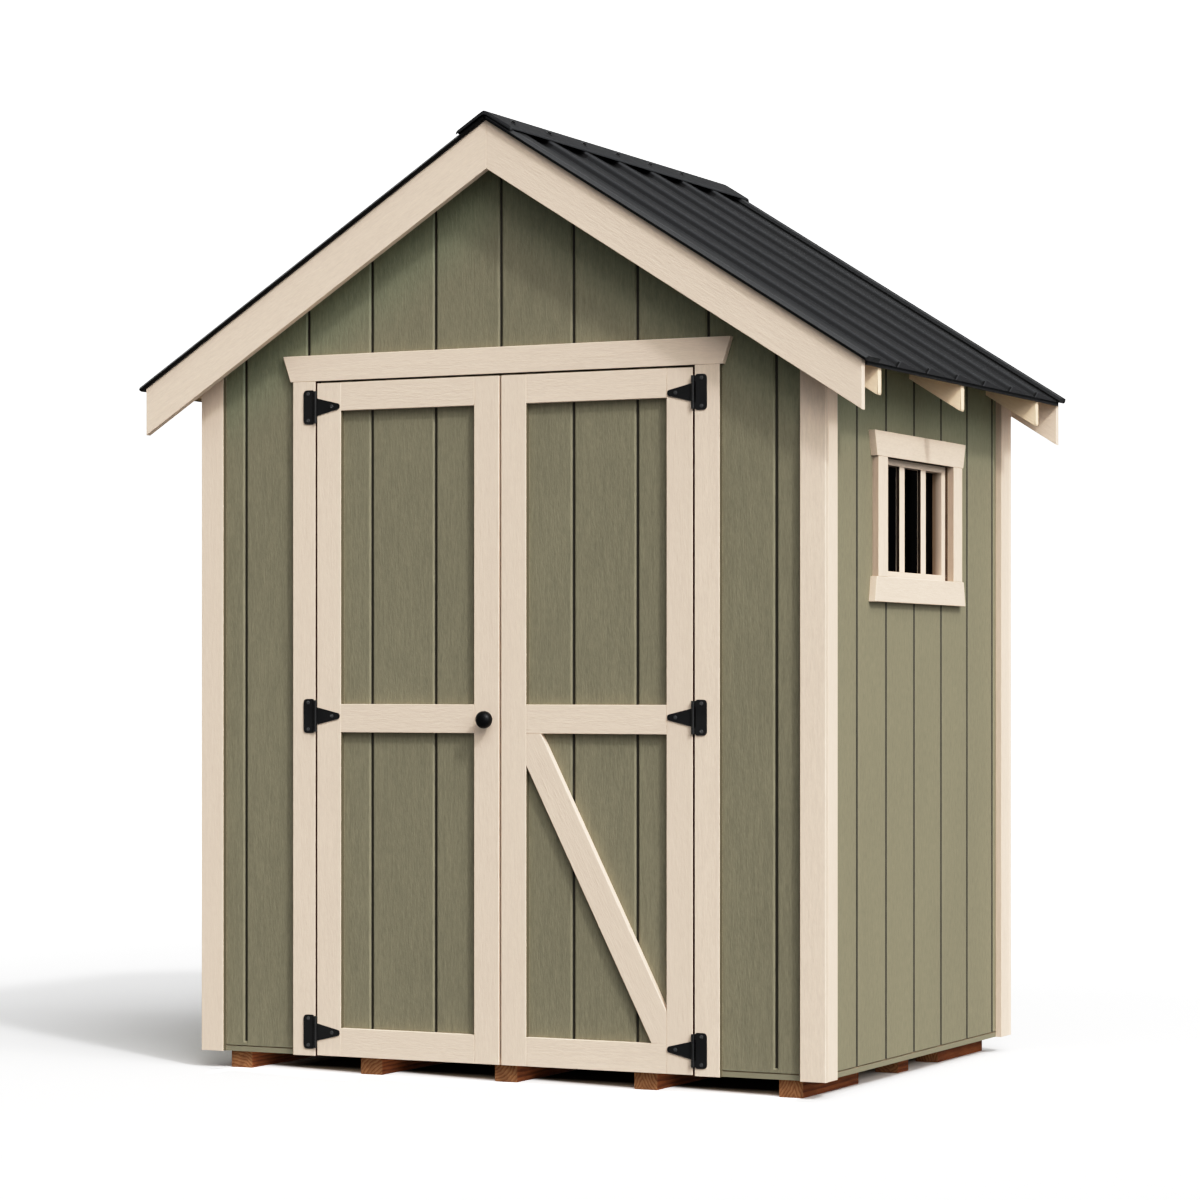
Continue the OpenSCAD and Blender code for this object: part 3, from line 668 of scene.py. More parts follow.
def strands_of(place):
    """Pressed strands of wood: long thin patches of even tone lying upright or level, some over
    others. Gives their tone, and that of the fine fibres alone."""
    tree = place.tree
    layers = []
    for size in STRANDS:
        bent = {0: in_units(place, size), 1: noise(place, STRAND_WAVE, 2.0)}
        bent = add(tree, "VectorMath", bent, operation="ADD")
        cells = {"Vector": bent, "Scale": 1.0, "Randomness": 1.0}
        layers.append(shares_of(add(tree, "TexVoronoi", cells, "Color"), "Color"))
    upright, level = layers
    over = {0: spread(level[1], 0.45, 0.55), 2: upright[0], 3: level[0]}
    tone = add(tree, "Mix", over, data_type="FLOAT")
    fine = noise(place, STRAND_FIBRE, 4.0)
    return tone * 0.6 + fine * 0.4, fine


def strand_panel(name, colour):
    """The bare back of a siding panel: pressed strands, each with its own tone."""
    material, tree = blank(name)
    share, fine = strands_of(own_place(tree))
    colour = blend(share, tint(colour, 0.80), tint(colour, 1.20))
    return surface(material, colour, spread(fine, *NOISE_SPAN, 0.7, 0.9), share, STRAND_RELIEF)


def coated_metal(name, coat, rough, speck, dust, gloss):
    """A factory coating on metal: fine specks, slow clouds of gloss, pale dust, painted highlights
    on eased edges, hems and crests, and painted shade where the mesh marks it.
    """
    material, tree = blank(name)
    place = own_place(tree)
    fine = noise(place, (speck,) * 3, 2.0)
    cloud = noise(place, COAT_CLOUD)
    colour = blend(fine, tint(coat, 0.85), tint(coat, 1.15))
    colour = blend(spread(cloud, 0.35, 0.75, 0.0, dust), colour, ROOF_DUST)
    # Painted highlight on eased edges, hems and rib crests, then painted shade on the marked places
    colour = blend(own(tree, "edge") * 0.7, colour, tint(coat, 2.4))
    colour = blend(own(tree, "groove"), colour, tint(coat, 0.05))
    rough = spread(cloud, *NOISE_SPAN, rough - 0.06, rough + 0.08)
    return surface(material, colour, rough, fine, speck * 0.06, gloss)


def deck_finish():
    """The floor deck: painted round its edge like the siding, bare strands on top and below."""
    material, tree = blank("floor deck")
    x, y, z = shares_of(own_place(tree))
    share, fine = strands_of(add(tree, "CombineXYZ", {0: x, 1: z, 2: y}))
    bare = blend(share, tint(PANEL_BACK, 0.9), tint(PANEL_BACK, 1.35))
    paint = blend(fine, tint(OLIVE, 0.85), tint(OLIVE, 1.1))
    colour = blend(facing(tree, ALONG_Z), paint, bare)
    return surface(material, colour, spread(fine, *NOISE_SPAN, 0.6, 0.8), share, DECK_RELIEF)


def tinted_glass():
    """A thin tinted pane, whose dark tint also paints the shade inside the shed: some light goes
    through, a little is mirrored, and dust stays.
    """
    material, tree = blank("window glass")
    film = spread(noise(own_place(tree), GLASS_FILM, 4.0), 0.35, 0.8, 0.0, 0.002)
    through = add(tree, "BsdfTransparent", {"Color": GLASS_SHADE_TINT})
    mirror = add(tree, "BsdfGlossy", {"Color": GLASS_MIRROR, "Roughness": 0.03})
    dust = add(tree, "BsdfDiffuse", {"Color": GLASS_DUST})
    gloss = add(tree, "Fresnel", {"IOR": GLASS_BEND})
    pane = add(tree, "MixShader", {0: gloss, 1: through, 2: mirror})
    return shown(material, add(tree, "MixShader", {0: film, 1: pane, 2: dust}))


def glow_finish(name, pale, glow, spared=None):
    """A stage finish that shines by itself. spared is the half width and half depth of a footprint
    round the middle where it is dark, so that the ground under the shed is in shade, except along
    its front, where light reaches in beside each runner: spared ends with the last runner's place
    and the step between runners."""
    material, tree = blank(name)
    colour = (pale,) * 3
    if spared:
        half_x, half_y, last, step = spared
        x, y, _ = shares_of(own_place(tree))
        out_x = abs(x) - half_x
        outside = out_x.maths("MAXIMUM", abs(y) - half_y)
        behind = y + half_y + ((x + last) / step).maths("FRACT") * BAY_IN
        front = spread(behind, *FRONT_IN, 0.0, FRONT_GLOW) * spread(behind, *FRONT_OUT)
        near = spread(outside, *NEAR_EDGE, 0.0, glow)
        far = spread(outside, *FAR_EDGE, 0.0, FAR_FLOOR_GLOW)
        glow = near + far + front * spread(out_x, *SIDE_OUT)
        colour = spread(outside, *SHADE_EDGE, FLOOR_DEEP, pale)
    shine = {"Emission Color": (1, 1, 1), "Emission Strength": glow}
    return surface(material, colour, 0.9, gloss=0.0, more=shine)


# Finishes. Numbers are the contrast, relief and roughness of a paint, the ring width, roughness and
# gloss of a timber, and the roughness, size of specks, dust and gloss of a coating.
CREAM_PAINT = painted_wood("cream trim paint", CREAM, 0.075, 0.0012, 0.55, GAP_SHADE_BROWN)
SIDE_PAINT = painted_wood("olive side paint", OLIVE, 0.10, 0.0008, 0.62, GROOVE_SHADE_COLOUR, EAVE_SHADE_TINT)
BOUNCE_LIT_RAFTER_PAINT = painted_wood("cream rafter paint with painted bounce light", BOUNCE_LIT_RAFTER_CREAM, 0.075, 0.0012, 0.55, GAP_SHADE_BROWN)
OLIVE_PAINT = painted_wood("olive siding paint", OLIVE, 0.22, 0.0018, 0.62, GROOVE_SHADE_COLOUR, EAVE_SHADE_TINT)
SHADED_CUT_IN_PAINT = painted_wood(
    "olive cut-in paint on board sides in painted shade", SHADED_CUT_IN_OLIVE, 0.10, 0.0008, 0.7, GROOVE_SHADE_COLOUR)
BARE_TIMBER = sawn_wood("bare softwood", SOFTWOOD, SOFTWOOD_LATE, 0.006, 0.75, 0.3)
STAINED_TIMBER = sawn_wood("red brown stain", STAIN, STAIN_LATE, 0.009, 0.7, 0.06, STAIN_ENDS)
DARK_RIM = sawn_wood("board rim in painted shade", tint(GAP_SHADE_BROWN, 1.6), GAP_SHADE_BROWN, 0.004, 0.8, 0.1)
SEALED_EDGE_IN_SHADE = sawn_wood("sealed panel edge in painted shade", PANEL_EDGE, tint(PANEL_EDGE, 0.6), 0.004, 0.8, 0.1)
SHADED_RIM = sawn_wood(
    "shaded bar side", tint(PANEL_EDGE, 0.25), tint(PANEL_EDGE, 0.12), 0.004, 0.8, 0.1)
STRAND_BACK = strand_panel("panel back", PANEL_BACK)
ROOF_COAT = coated_metal("charcoal roof coating", CHARCOAL, 0.6, 0.0016, 0.010, 0.10)
LIT_RIB_END_COAT = coated_metal("rib ends with painted highlight", LIT_RIB_END_GREY, 0.6, 0.0016, 0.006, 0.10)
VERGE_COAT = coated_metal("verge flashing", VERGE_GREY, 0.58, 0.0016, 0.008, 0.1)
IRON_COAT = coated_metal("black hinge coating", BLACK_IRON, 0.40, 0.0011, 0.006, 0.3)
KNOB_COAT = coated_metal("black knob coating", tint(BLACK_IRON, 0.5), 0.30, 0.0011, 0.0, 0.10)
SCREW_FINISH = coated_metal("dark screw finish", SCREW_STEEL, 0.32, 0.0009, 0.01, 0.5)
GLASS = tinted_glass()
DECK = deck_finish()


def finished_boards(node, paint, across=None, ease=EASE, end_ease=END_EASE, bare=None, shade=None):
    """Eased boards in place of all solids of one CAD node. bare picks, by their middles, the sides
    that get the dark rim, painted shade in the gaps and under headers and bars, and shade tells how
    much painted shade each side gets as it is out of the light."""
    rim = SHADED_RIM if node.startswith("window") else DARK_RIM
    materials = [paint, rim, SHADED_CUT_IN_PAINT]
    parts = [board(corners, ease, end_ease, across) for corners in solids_of(node)]
    for part in parts:
        middles = np.array([part["points"][face].mean(0) for face in part["faces"]])
        marked = np.zeros(len(middles), int)
        if node in SHADED_CUT_IN_NODES:
            shaded_cut_in = beside_siding(middles, part["points"][:, 0].max())
            marked[part["wall"] & shaded_cut_in] = materials.index(SHADED_CUT_IN_PAINT)
        if bare:
            marked[part["wall"] & bare(middles)] = materials.index(rim)
        part["material"] = marked
        if shade:
            part["shade"] = shade(part["points"], part["side"] > FULL_SIDE)
    finish_node(node, parts, materials)


def beside_siding(points, right):
    """The right sides of front boards that meet siding, where its paint was cut in, darker than the
    siding as painted shade.
    """
    x = points[:, 0]
    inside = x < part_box("front_gable")[1].x - WELD
    return (x > right - WELD) & (np.abs(x) > GROOVE_HALF) & inside


def shaded_casing_sides(points):
    """The sides of the casings towards the doorway, in painted shade."""
    return np.abs(points[:, 0]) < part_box("front_wall_right")[0].x + WELD


def shaded_header_underside(points):
    """The underside of a header, in painted shade."""
    return points[:, 2] < points[:, 2].min() + WELD


def shaded_leaf_rims(points):
    """The outer rims of a door leaf, without its meeting side, in painted shade."""
    low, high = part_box("right_door_frame")
    x, z = np.abs(points[:, 0]), points[:, 2]
    return (x > high.x - WELD) | (z < low.z + WELD) | (z > high.z - WELD)


def shaded_bar_sides(points):
    """The sides of the window bars that face the front of the shed, in painted shade."""
    return points[:, 1] < points[:, 1].min() + WELD


def past_middle(points, axis):
    """The points past the middle of a board along an axis."""
    s = points[:, axis]
    return s > (s.min() + s.max()) / 2


def front_side(points, on_side, shade=FRONT_SIDE_SHADE):
    """Painted shade on the sides of boards on the right wall that face the front of the shed, and a
    little on the faces."""
    return np.where(on_side & ~past_middle(points, ALONG_Y), shade, RIGHT_FACE_SHADE)


def casing_side(points, on_side):
    """The front sides of the window casings, deeper out of the light."""
    return front_side(points, on_side, CASING_SIDE_SHADE)


def deep_side(points, on_side):
    """Painted shade on the front sides of the sash, darker towards the inside of the shed."""
    deep = np.where(past_middle(points, ALONG_X), SASH_SHADE, SASH_DEEP_SHADE)
    return front_side(points, on_side, deep)


def right_side(points, on_side, shade=RIGHT_SIDE_SHADE):
    """Painted shade on the right sides of the boards on the front wall."""
    return shade * (on_side & past_middle(points, ALONG_X))


def leaf_side(points, on_side):
    """Painted shade on the right sides of the boards on the leaves."""
    return right_side(points, on_side, LEAF_SIDE_SHADE)


SHADED_CUT_IN_NODES = ("corner_boards_front", "door_casings", "left_door_frame", "right_door_frame")
FRAMING_NODES = ("front_frame", "rear_frame", "left_frame", "right_frame", "ridge_board")

# Trim boards, and which of their sides get painted shade: bare gives the dark rim in the gaps and
# under headers and bars, shade a darker share of the paint
TRIM = {
    "front_barge_boards": {},
    "rear_barge_boards": {},
    "corner_boards_front": {"shade": right_side},
    "corner_boards_rear": {},
    "corner_boards_left": {},
    "corner_boards_right": {"shade": front_side},
    "door_casings": {"bare": shaded_casing_sides, "shade": right_side},
    "door_header": {"bare": shaded_header_underside},
    "window_casings": {"shade": casing_side},
    "window_header": {"bare": shaded_header_underside, "shade": front_side},
    "window_sill": {"shade": front_side},
    "window_sash": {"across": ALONG_X, "shade": deep_side},
    "window_bars": {"bare": shaded_bar_sides},
    "left_door_frame": {"bare": shaded_leaf_rims, "shade": leaf_side},
    "right_door_frame": {"bare": shaded_leaf_rims, "shade": leaf_side},
    "right_door_brace": {"shade": leaf_side}}


def groove_relief(s, centres):
    """Depth of the siding's grooves at s: 0 on the face, GROOVE_DEEP on the flat floor of a groove,
    and a smooth slope between."""
    off = np.abs(np.asarray(s)[:, None] - np.asarray(centres)[None]).min(1)
    t = np.clip((GROOVE_HALF - off) / (GROOVE_HALF - GROOVE_FLOOR_HALF), 0, 1)
    return GROOVE_DEEP * t * t * (3 - 2 * t)


def groove_columns(low, high, centres, more=()):
    """Where a panel's grid has columns: its ends, close together over each groove, and at more."""
    slope = np.linspace(GROOVE_FLOOR_HALF / GROOVE_HALF, 1, 11)
    steps = np.concatenate([[-GROOVE_MARGIN], -slope[::-1], [0], slope, [GROOVE_MARGIN]])
    over = (np.asarray(centres)[:, None] + GROOVE_HALF * steps[None]).ravel()
    over = over[(over > low + WELD) & (over < high - WELD)]
    return np.unique(np.round(np.concatenate([[low, high], over, more]), 6))


def siding(name, nodes, paint, s, heights, top, centres, along, face, back,
           cut=None, stopped=False, groove_shade_reach=1.0, tone=0.0):
    """A siding panel in place of CAD nodes, over columns s and rows at heights, with a last row
    that follows top. along is the axis of s, face and back its two planes. Grooves sink towards
    back, and where they are stopped the lowest rows stay plain. cut gives the rows and the span of
    s of an opening. The next to last argument tells how far up a groove's sides painted shade goes,
    and tone how much darker the panel is painted, as painted shade."""
    across = 1 - along
    rows = [np.broadcast_to(height, len(s)) for height in heights + [top]]
    levels = np.stack(rows)
    held = np.ones((len(levels) - 1, len(s) - 1), bool)
    if cut:
        middle = (s[1:] + s[:-1]) / 2
        held[cut[0], (middle > cut[1]) & (middle < cut[2])] = False
    relief = np.broadcast_to(groove_relief(s, centres), levels.shape).copy()
    if stopped:
        relief[:2] = 0
    front = np.zeros(levels.shape + (3,))
    front[..., along] = s
    front[..., across] = face + math.copysign(1, back - face) * relief
    front[..., 2] = levels
    rear = front.copy()
    rear[..., across] = back
    part = slab(front, rear, held, depth=(relief, np.zeros(relief.shape)))
    depth = part["depth"]
    part["groove"] = np.minimum(depth / GROOVE_DEEP * groove_shade_reach, 1)
    part["tone"] = tone
    part["grain"] = np.stack([part["points"][:, along], depth, part["points"][:, 2]], 1)
    part["grain"] += DRAW.uniform(0, GRAIN_SPREAD, 3)
    make_piece(name, [part], [paint, STRAND_BACK, SEALED_EDGE_IN_SHADE], nodes[-1], nodes)


def gable_siding(name, nodes, face, back, centres, doorway=()):
    """A gable wall in one panel, cut round the doorway if it has one: its half width and height."""
    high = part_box(nodes[-1])[1]
    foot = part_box(nodes[0])[0].z
    s = groove_columns(-high.x, high.x, centres, [-doorway[0], doorway[0]] if doorway else [])
    heights = [foot, foot + GROOVE_STOP, foot + GROOVE_STOP + GROOVE_RUNOUT, *doorway[1:]]
    cut = (slice(-1), -doorway[0], doorway[0]) if doorway else None
    siding(name, nodes, OLIVE_PAINT, s, heights, high.z - np.abs(s) * FALL, centres, ALONG_X,
           face, back, cut, True, tone=FRONT_SHADE_TONE)


def side_siding(name, node, face, back, window=None):
    """A side wall in one panel, cut round the window if it has one: its two corners."""
    low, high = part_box(node)
    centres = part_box("front_gable")[0].y + SIDE_GROOVES
    ends, sills = [], []
    cut = None
    if window:
        ends = [corner.y for corner in window]
        sills = [corner.z for corner in window]
        cut = (1, *ends)
    s = groove_columns(low.y, high.y, centres, ends)
    siding(name, [node], SIDE_PAINT, s, [low.z] + sills, high.z, centres, ALONG_Y, face, back, cut,
           groove_shade_reach=SIDE_GROOVE_SHADE)


def leaf_siding(node):
    """The panel of a door leaf, with its grooves from top to bottom."""
    low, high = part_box(node)
    centres = [x for x in FRONT_GROOVES if low.x < x < high.x and abs(x) > GROOVE_PITCH / 2]
    s = groove_columns(low.x, high.x, centres)
    siding("finished_" + node, [node], OLIVE_PAINT, s, [low.z], high.z, centres, ALONG_X,
           low.y, high.y, tone=FRONT_SHADE_TONE)


def on_slope(down, y, up, side):
    """A grid of points over the ways down the slope and over y, at heights square to it."""
    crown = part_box("roof_deck")[1].z + SEAT
    down, y = np.meshgrid(down, y, indexing="ij")
    return np.stack([side * (down * LEAN + up * RISE), y, crown - down * RISE + up * LEAN], -1)


def rib_starts(y0, y1):
    """Where each rib of the roof sheet starts, and the step between ribs."""
    step = (y1 - y0 - FIRST_PAN) / RIB_COUNT
    return y0 + FIRST_PAN + step * np.arange(RIB_COUNT), step


def rib_height(y, y0, y1):
    """Height of the roof sheet at y: each rib has a steep front, a flat top and a gentle back, and
    its corners are rounded by taking the mean over a short stretch."""
    starts, step = rib_starts(y0, y1)
    crest = RIB_FRONT + RIB_TOP
    marks = np.array([0, RIB_FRONT, crest, crest + step * RIB_BACK])
    at = np.concatenate([[y0], (starts[:, None] + marks[None]).ravel(), [y1]])
    ribs = np.tile([SHEET_T, RIB_H, RIB_H, SHEET_T], RIB_COUNT)
    heights = np.concatenate([[SHEET_T], ribs, [SHEET_T]])
    near = np.linspace(-RIB_ROUND, RIB_ROUND, 9)
    return np.interp(y[:, None] + near[None], at, heights).mean(1)


def roof_sheet(node, side):
    """A ribbed sheet: the rib profile over y, carried down the slope. Painted shade darkens it
    under the ridge cap, beside the rear verge and on the fronts of the ribs, most of all at their
    ends; a painted highlight lies on each crest, and its cut ends are paler as a painted highlight."""
    low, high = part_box(node)
    starts, step = rib_starts(low.y, high.y)
    reach = (max(abs(low.x), abs(high.x)) - RIB_H * RISE) / LEAN
    close = np.concatenate([np.arange(*RIB_NEAR), np.linspace(RIB_FAR, step * RIB_END, 14)])
    gap_shade = high.y - VERGE_GAP_SHADE
    y = np.concatenate([[low.y, gap_shade - WELD, gap_shade, high.y], (starts[:, None] + close[None]).ravel()])
    y = np.unique(y.clip(low.y, high.y))
    up = rib_height(y, low.y, high.y)
    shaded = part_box("ridge_cap")[1].x / LEAN + CAP_SHADE
    ticks = reach - RIB_TICK
    down = np.concatenate([[SEAT, shaded - WELD], np.linspace(shaded, ticks - WELD, 12),
                           [ticks, reach]])
    row = down[:, None]

    def on_ribs(start, end):
        since = y[:, None] - starts[None]
        return ((since > start) & (since < end)).any(1)

    # Painted highlight on each crest; painted shade on the rib fronts, black at the eave, under the
    # cap's edge and beside the rear verge
    crest = on_ribs(RIB_FRONT - RIB_ROUND, RIB_FRONT + RIB_CREST)
    front = on_ribs(*RIB_FRONT_SHADE)
    tick = on_ribs(-RIB_ROUND, RIB_FRONT)
    dark = np.where(row > ticks - WELD / 2, tick, front * RIB_FRONT_DARK)
    under_cap = (row < shaded - WELD / 2) & (up < RIB_H * RIB_LOW)
    dark = np.maximum(dark, under_cap | (y >= gap_shade))
    crest = np.broadcast_to(crest, dark.shape)
    part = slab(on_slope(down, y, up, side), on_slope(down, y, 0, side),
                edge=(crest, crest), groove=(dark, dark))
    part["material"] = (part["material"] == STRIP).astype(int)
    finish_node(node, [part], [ROOF_COAT, LIT_RIB_END_COAT])


def verge(node, front):
    """A verge flashing: a profile over y, carried down both slopes. The front one has a black
    upright edge over a drip, a bevel up to a rim, a grey top and a darker strip beside the roof
    sheet. The rear one stands higher than the sheet and shows its inner side. Its black is painted
    shade: on the front one's upright edge, on the undersides by the drip, on the bevel of the left
    slope, and on the rear one's outer rim and foot. Rows are the way in from the outer edge, the
    height square to the slope, and how black it is."""
    low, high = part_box(node)
    wide = high.y - low.y
    out, inward = (low.y, 1) if front else (high.y, -1)
    if front:
        top = [(0, VERGE_EDGE_H, 1), (2 * WELD, VERGE_EDGE_H + WELD, 0),
               (VERGE_BEVEL, VERGE_RIM, 0), (2 * VERGE_BEVEL, VERGE_H, 0),
               (VERGE_GREY_W, VERGE_H, 0), (VERGE_GREY_W + WELD, VERGE_H, VERGE_INNER_DARK),
               (wide, VERGE_H, VERGE_INNER_DARK)]
    else:
        top = [(0, VERGE_EDGE_H, 1), (VERGE_BEVEL, REAR_VERGE_H, 1), (REAR_DARK_W, REAR_VERGE_H, 1),
               (REAR_DARK_W + WELD, REAR_VERGE_H, 0), (wide - VERGE_INNER, REAR_VERGE_H, 0),
               (wide, REAR_VERGE_H - VERGE_INNER, 0), (wide, REAR_FOOT + WELD, 0),
               (wide, REAR_FOOT, 1)]
    top = np.array(top, float)
    under = np.zeros(top.shape)
    under[1, 0] = VERGE_DRIP
    under[2:, 0] = np.linspace(VERGE_DRIP, wide, len(top) - 2)
    under[:2, 1] = VERGE_LOW
    under[:3, 2] = 1
    under[-1, 2] = not front
    down = np.linspace(SEAT, (high.x - VERGE_H * RISE) / LEAN, 8)
    parts = []
    for side in (-1, 1):
        grids, black = [], []
        for rows in (top, under):
            grids.append(on_slope(down, out + inward * rows[:, 0], rows[:, 1], side))
            # Painted shade: on the left slope the edge and bevel are black, out of the light.
            dark = np.where((rows[:, 0] < VERGE_BEVEL + WELD) & (side < 0), 1, rows[:, 2])
            black.append(np.broadcast_to(dark, (len(down), len(rows))))
        parts.append(dict(slab(*grids, groove=black), material=0))
    finish_node(node, parts, [VERGE_COAT])


def ridge_cap():
    """The folded cap over the ridge: two wings that meet in a small round, hemmed at their edges,
    with a lip folded down over the verge flashing at each end."""
    low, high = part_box("ridge_cap")
    half = high.x
    x = np.concatenate([np.linspace(-half, -half + CAP_HEM, 4),
                        np.linspace(-half + CAP_HEM, -CAP_FOLD, 5)[1:],
                        np.linspace(-CAP_FOLD, 0, 6)[1:]])
    x = np.concatenate([x, -x[-2::-1]])
    fold = np.sqrt(x * x + CAP_ROUND ** 2) - CAP_ROUND
    hem = np.clip((np.abs(x) - half + CAP_HEM) / CAP_HEM, 0, 1) ** 2 * CAP_HEM * CAP_HEM_DROP
    top = high.z - fold * FALL - hem
    y = np.concatenate([[low.y, low.y + CAP_LIP_T],
                        np.linspace(low.y + CAP_DRAPE_REACH, high.y - CAP_DRAPE_REACH, 16),
                        [high.y - CAP_LIP_T, high.y]])
    grid_x, grid_y = np.meshgrid(x, y, indexing="ij")
    ends = np.minimum(grid_y - low.y, high.y - grid_y)
    drape = CAP_DRAPE * np.clip(1 - ends / CAP_DRAPE_REACH, 0, 1)
    drape = drape * np.clip(np.abs(grid_x) / CAP_FOLD, 0, 1)
    drape = np.where(ends < CAP_LIP_T / 2, CAP_LIP, drape)
    upper = np.stack([grid_x, grid_y, top[:, None] - drape], -1)
    lower = upper - np.array([0, 0, CAP_T / LEAN])
    # Painted highlight on the hems.
    rim = np.abs(grid_x) > half - CAP_HEM
    part = slab(upper, lower, edge=(rim, rim))
    finish_node("ridge_cap", [dict(part, material=0)], [ROOF_COAT])


def cap_fixings():
    """A low hex screw with a washer on each wing of the ridge cap, in front of every rib."""
    washer = turned([(0, 0), (WASHER_R, 0), (WASHER_R, WASHER_T * 0.6), (WASHER_R * 0.9, WASHER_T),
                     (0, WASHER_T)], sides=20)
    head = turned([(0, 0), (HEX_R, 0), (HEX_R, HEX_H - HEX_EASE), (HEX_R * 0.86, HEX_H),
                   (0, HEX_H)], sides=6)
    sheet_low, sheet_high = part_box("roof_sheet_right")
    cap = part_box("ridge_cap")[1]
    out = cap.x * FIXING_OUT
    z = cap.z - out * FALL + CAP_ROUND * FALL * FIXING_SEAT
    parts = []
    for side in (-1, 1):
        tilt = [[LEAN, 0, side * RISE], [0, 1, 0], [-side * RISE, 0, LEAN]]
        for y in rib_starts(sheet_low.y, sheet_high.y)[0] - FIXING_LEAD:
            parts += [moved(shape, tilt, (side * out, y, z)) for shape in (washer, head)]
    make_piece("ridge_cap_fixings", parts, [IRON_COAT], "ridge_cap")


def rounded(points, radius, steps=5):
    """An outline with each corner replaced by a smooth bend that starts radius before it."""
    points = np.asarray(points, float)
    radius = np.broadcast_to(radius, len(points))[:, None]
    back, on = np.roll(points, 1, 0) - points, np.roll(points, -1, 0) - points
    start = points + back / np.linalg.norm(back, axis=1)[:, None] * radius
    end = points + on / np.linalg.norm(on, axis=1)[:, None] * radius
    t = np.linspace(0, 1, steps)[None, :, None]
    bend = (1 - t) ** 2 * start[:, None] + 2 * t * (1 - t) * points[:, None] + t * t * end[:, None]
    return bend.reshape(-1, 2)


def screw_head():
    """A pan head with a cross recess: a dome in r, sunk where the point lies in either bar of a
    cross. Its sizes are shares of the head's radius."""
    r = np.array([0, 0.12, 0.24, 0.36, 0.48, 0.62, 0.78, 0.92, 1.0, 1.0])
    dome = 0.42 * np.sqrt(np.clip(1 - r ** 2 * 0.75, 0, 1))
    dome[-1] = 0
    part = turned(np.concatenate([[[0, 0]], np.stack([r, dome], 1)[::-1]]), sides=28)
    x, y, z = part["points"].T
    arm, slot, low, deep = 0.56, 0.15, 0.1, 0.22
    cross = (np.abs(x) < slot) & (np.abs(y) < arm)
    cross |= (np.abs(y) < slot) & (np.abs(x) < arm)
    part["points"][:, 2] = np.where(cross & (z > low), z - deep, z)
    part["points"] *= SCREW_R
    return part


FACING_FRONT = ((1, 0, 0), (0, 0, -1), (0, 1, 0))


def front_disc(shape, x, y, z, spin=0.0):
    """A turned shape set on a front face: its axis points to -Y."""
    c, s = math.cos(spin), math.sin(spin)
    turn = np.asarray(FACING_FRONT, float) @ np.array([[c, -s, 0], [s, c, 0], [0, 0, 1]])
    return moved(shape, turn, (x, y, z))


def screw(x, y, z):
    return front_disc(screw_head(), x, y, z, DRAW.uniform(0, SCREW_SPIN))


def knuckle(height, place):
    """A knuckle of the hinge, with its rims eased."""
    rim = BARREL_R * BARREL_RIM
    half = height / 2
    barrel = turned([(0, -half), (BARREL_R - rim, -half), (BARREL_R, -half + rim),
                     (BARREL_R, half - rim), (BARREL_R - rim, half), (0, half)], sides=24)
    return moved(barrel, np.eye(3), place)


def iron_plate(ring, z, back, side):
    """A flat piece of a hinge from its outline, on one side of the doorway."""
    part = laid(plate(ring + (0, z), back - IRON_T, back, IRON_EASE, IRON_EASE), (0, 2, 1))
    return moved(part, np.diag([side, 1, 1]), (0, 0, 0))


def hinges():
    """Three T hinges on each side: a plate with two screws on the casing, a tapered strap on the
    leaf, and between them knuckles on one pin."""
    plates, plate_screws = [], []
    notch, reach = STRAP_H / 2 + SEAT, BARREL_H / 2
    plate_bends = [PLATE_ROUND] * 2 + [PLATE_ROUND / 2] + [IRON_CORNER] * 8 + [PLATE_ROUND / 2]
    strap_bends = [STRAP_TIP * 0.46, IRON_CORNER, IRON_CORNER, STRAP_TIP * 0.46]
    leaves = []
    for joint in frame["joints"]:
        axis_x, axis_y = joint["pos_m"][:2]
        side = math.copysign(1, axis_x)
        axis = abs(axis_x)
        near = axis + BARREL_R + PLATE_GAP
        for solid in [s for s in solids_of("hinge_plates") if s[:, 0].mean() * side > 0]:
            low, high = solid.min(0), solid.max(0)
            z, tall = (low[2] + high[2]) / 2, high[2] - low[2]
            far = np.abs(solid[:, 0]).max()
            half = [(far, tall / 2), (near, tall / 2), (near, reach), (axis, reach), (axis, notch),
                    (near, notch)]
            ring = rounded([(far, -tall / 2)] + half + [(x, -up) for x, up in half[:0:-1]],
                           plate_bends)
            for level in (-1, 1):
                place = (axis_x, axis_y, z + level * (reach + notch) / 2)
                plates.append(knuckle(reach - notch, place))
            plates.append(iron_plate(ring, z, high[1], side))
            x = side * ((near + far) / 2 + PLATE_SCREW_OUT)
            for level in (-1, 1):
                plate_screws.append(screw(x, high[1] - IRON_T, z + level * tall * PLATE_SCREW))
        node = "right_hinge_straps" if side > 0 else "left_hinge_straps"
        straps, screws = [], []
        for solid in solids_of(node):
            low, high = solid.min(0), solid.max(0)
            z, tall = (low[2] + high[2]) / 2, high[2] - low[2]
            tip = np.abs(solid[:, 0]).min()
            ring = rounded([(tip, -STRAP_TIP / 2), (axis, -tall / 2), (axis, tall / 2),
                            (tip, STRAP_TIP / 2)], strap_bends)
            straps.append(iron_plate(ring, z, high[1], side))
            straps.append(knuckle(tall, (axis_x, axis_y, z)))
            x = side * (tip + (axis - tip) * STRAP_SCREW)
            screws.append(screw(x, high[1] - IRON_T, z))
        leaves.append((node, straps, screws))
    finish_node("hinge_plates", plates, [IRON_COAT])
    make_piece("hinge_plate_screws", plate_screws, [SCREW_FINISH], "hinge_plates")
    for node, straps, screws in leaves:
        finish_node(node, straps, [IRON_COAT])
        make_piece(node + "_screws", screws, [SCREW_FINISH], node)


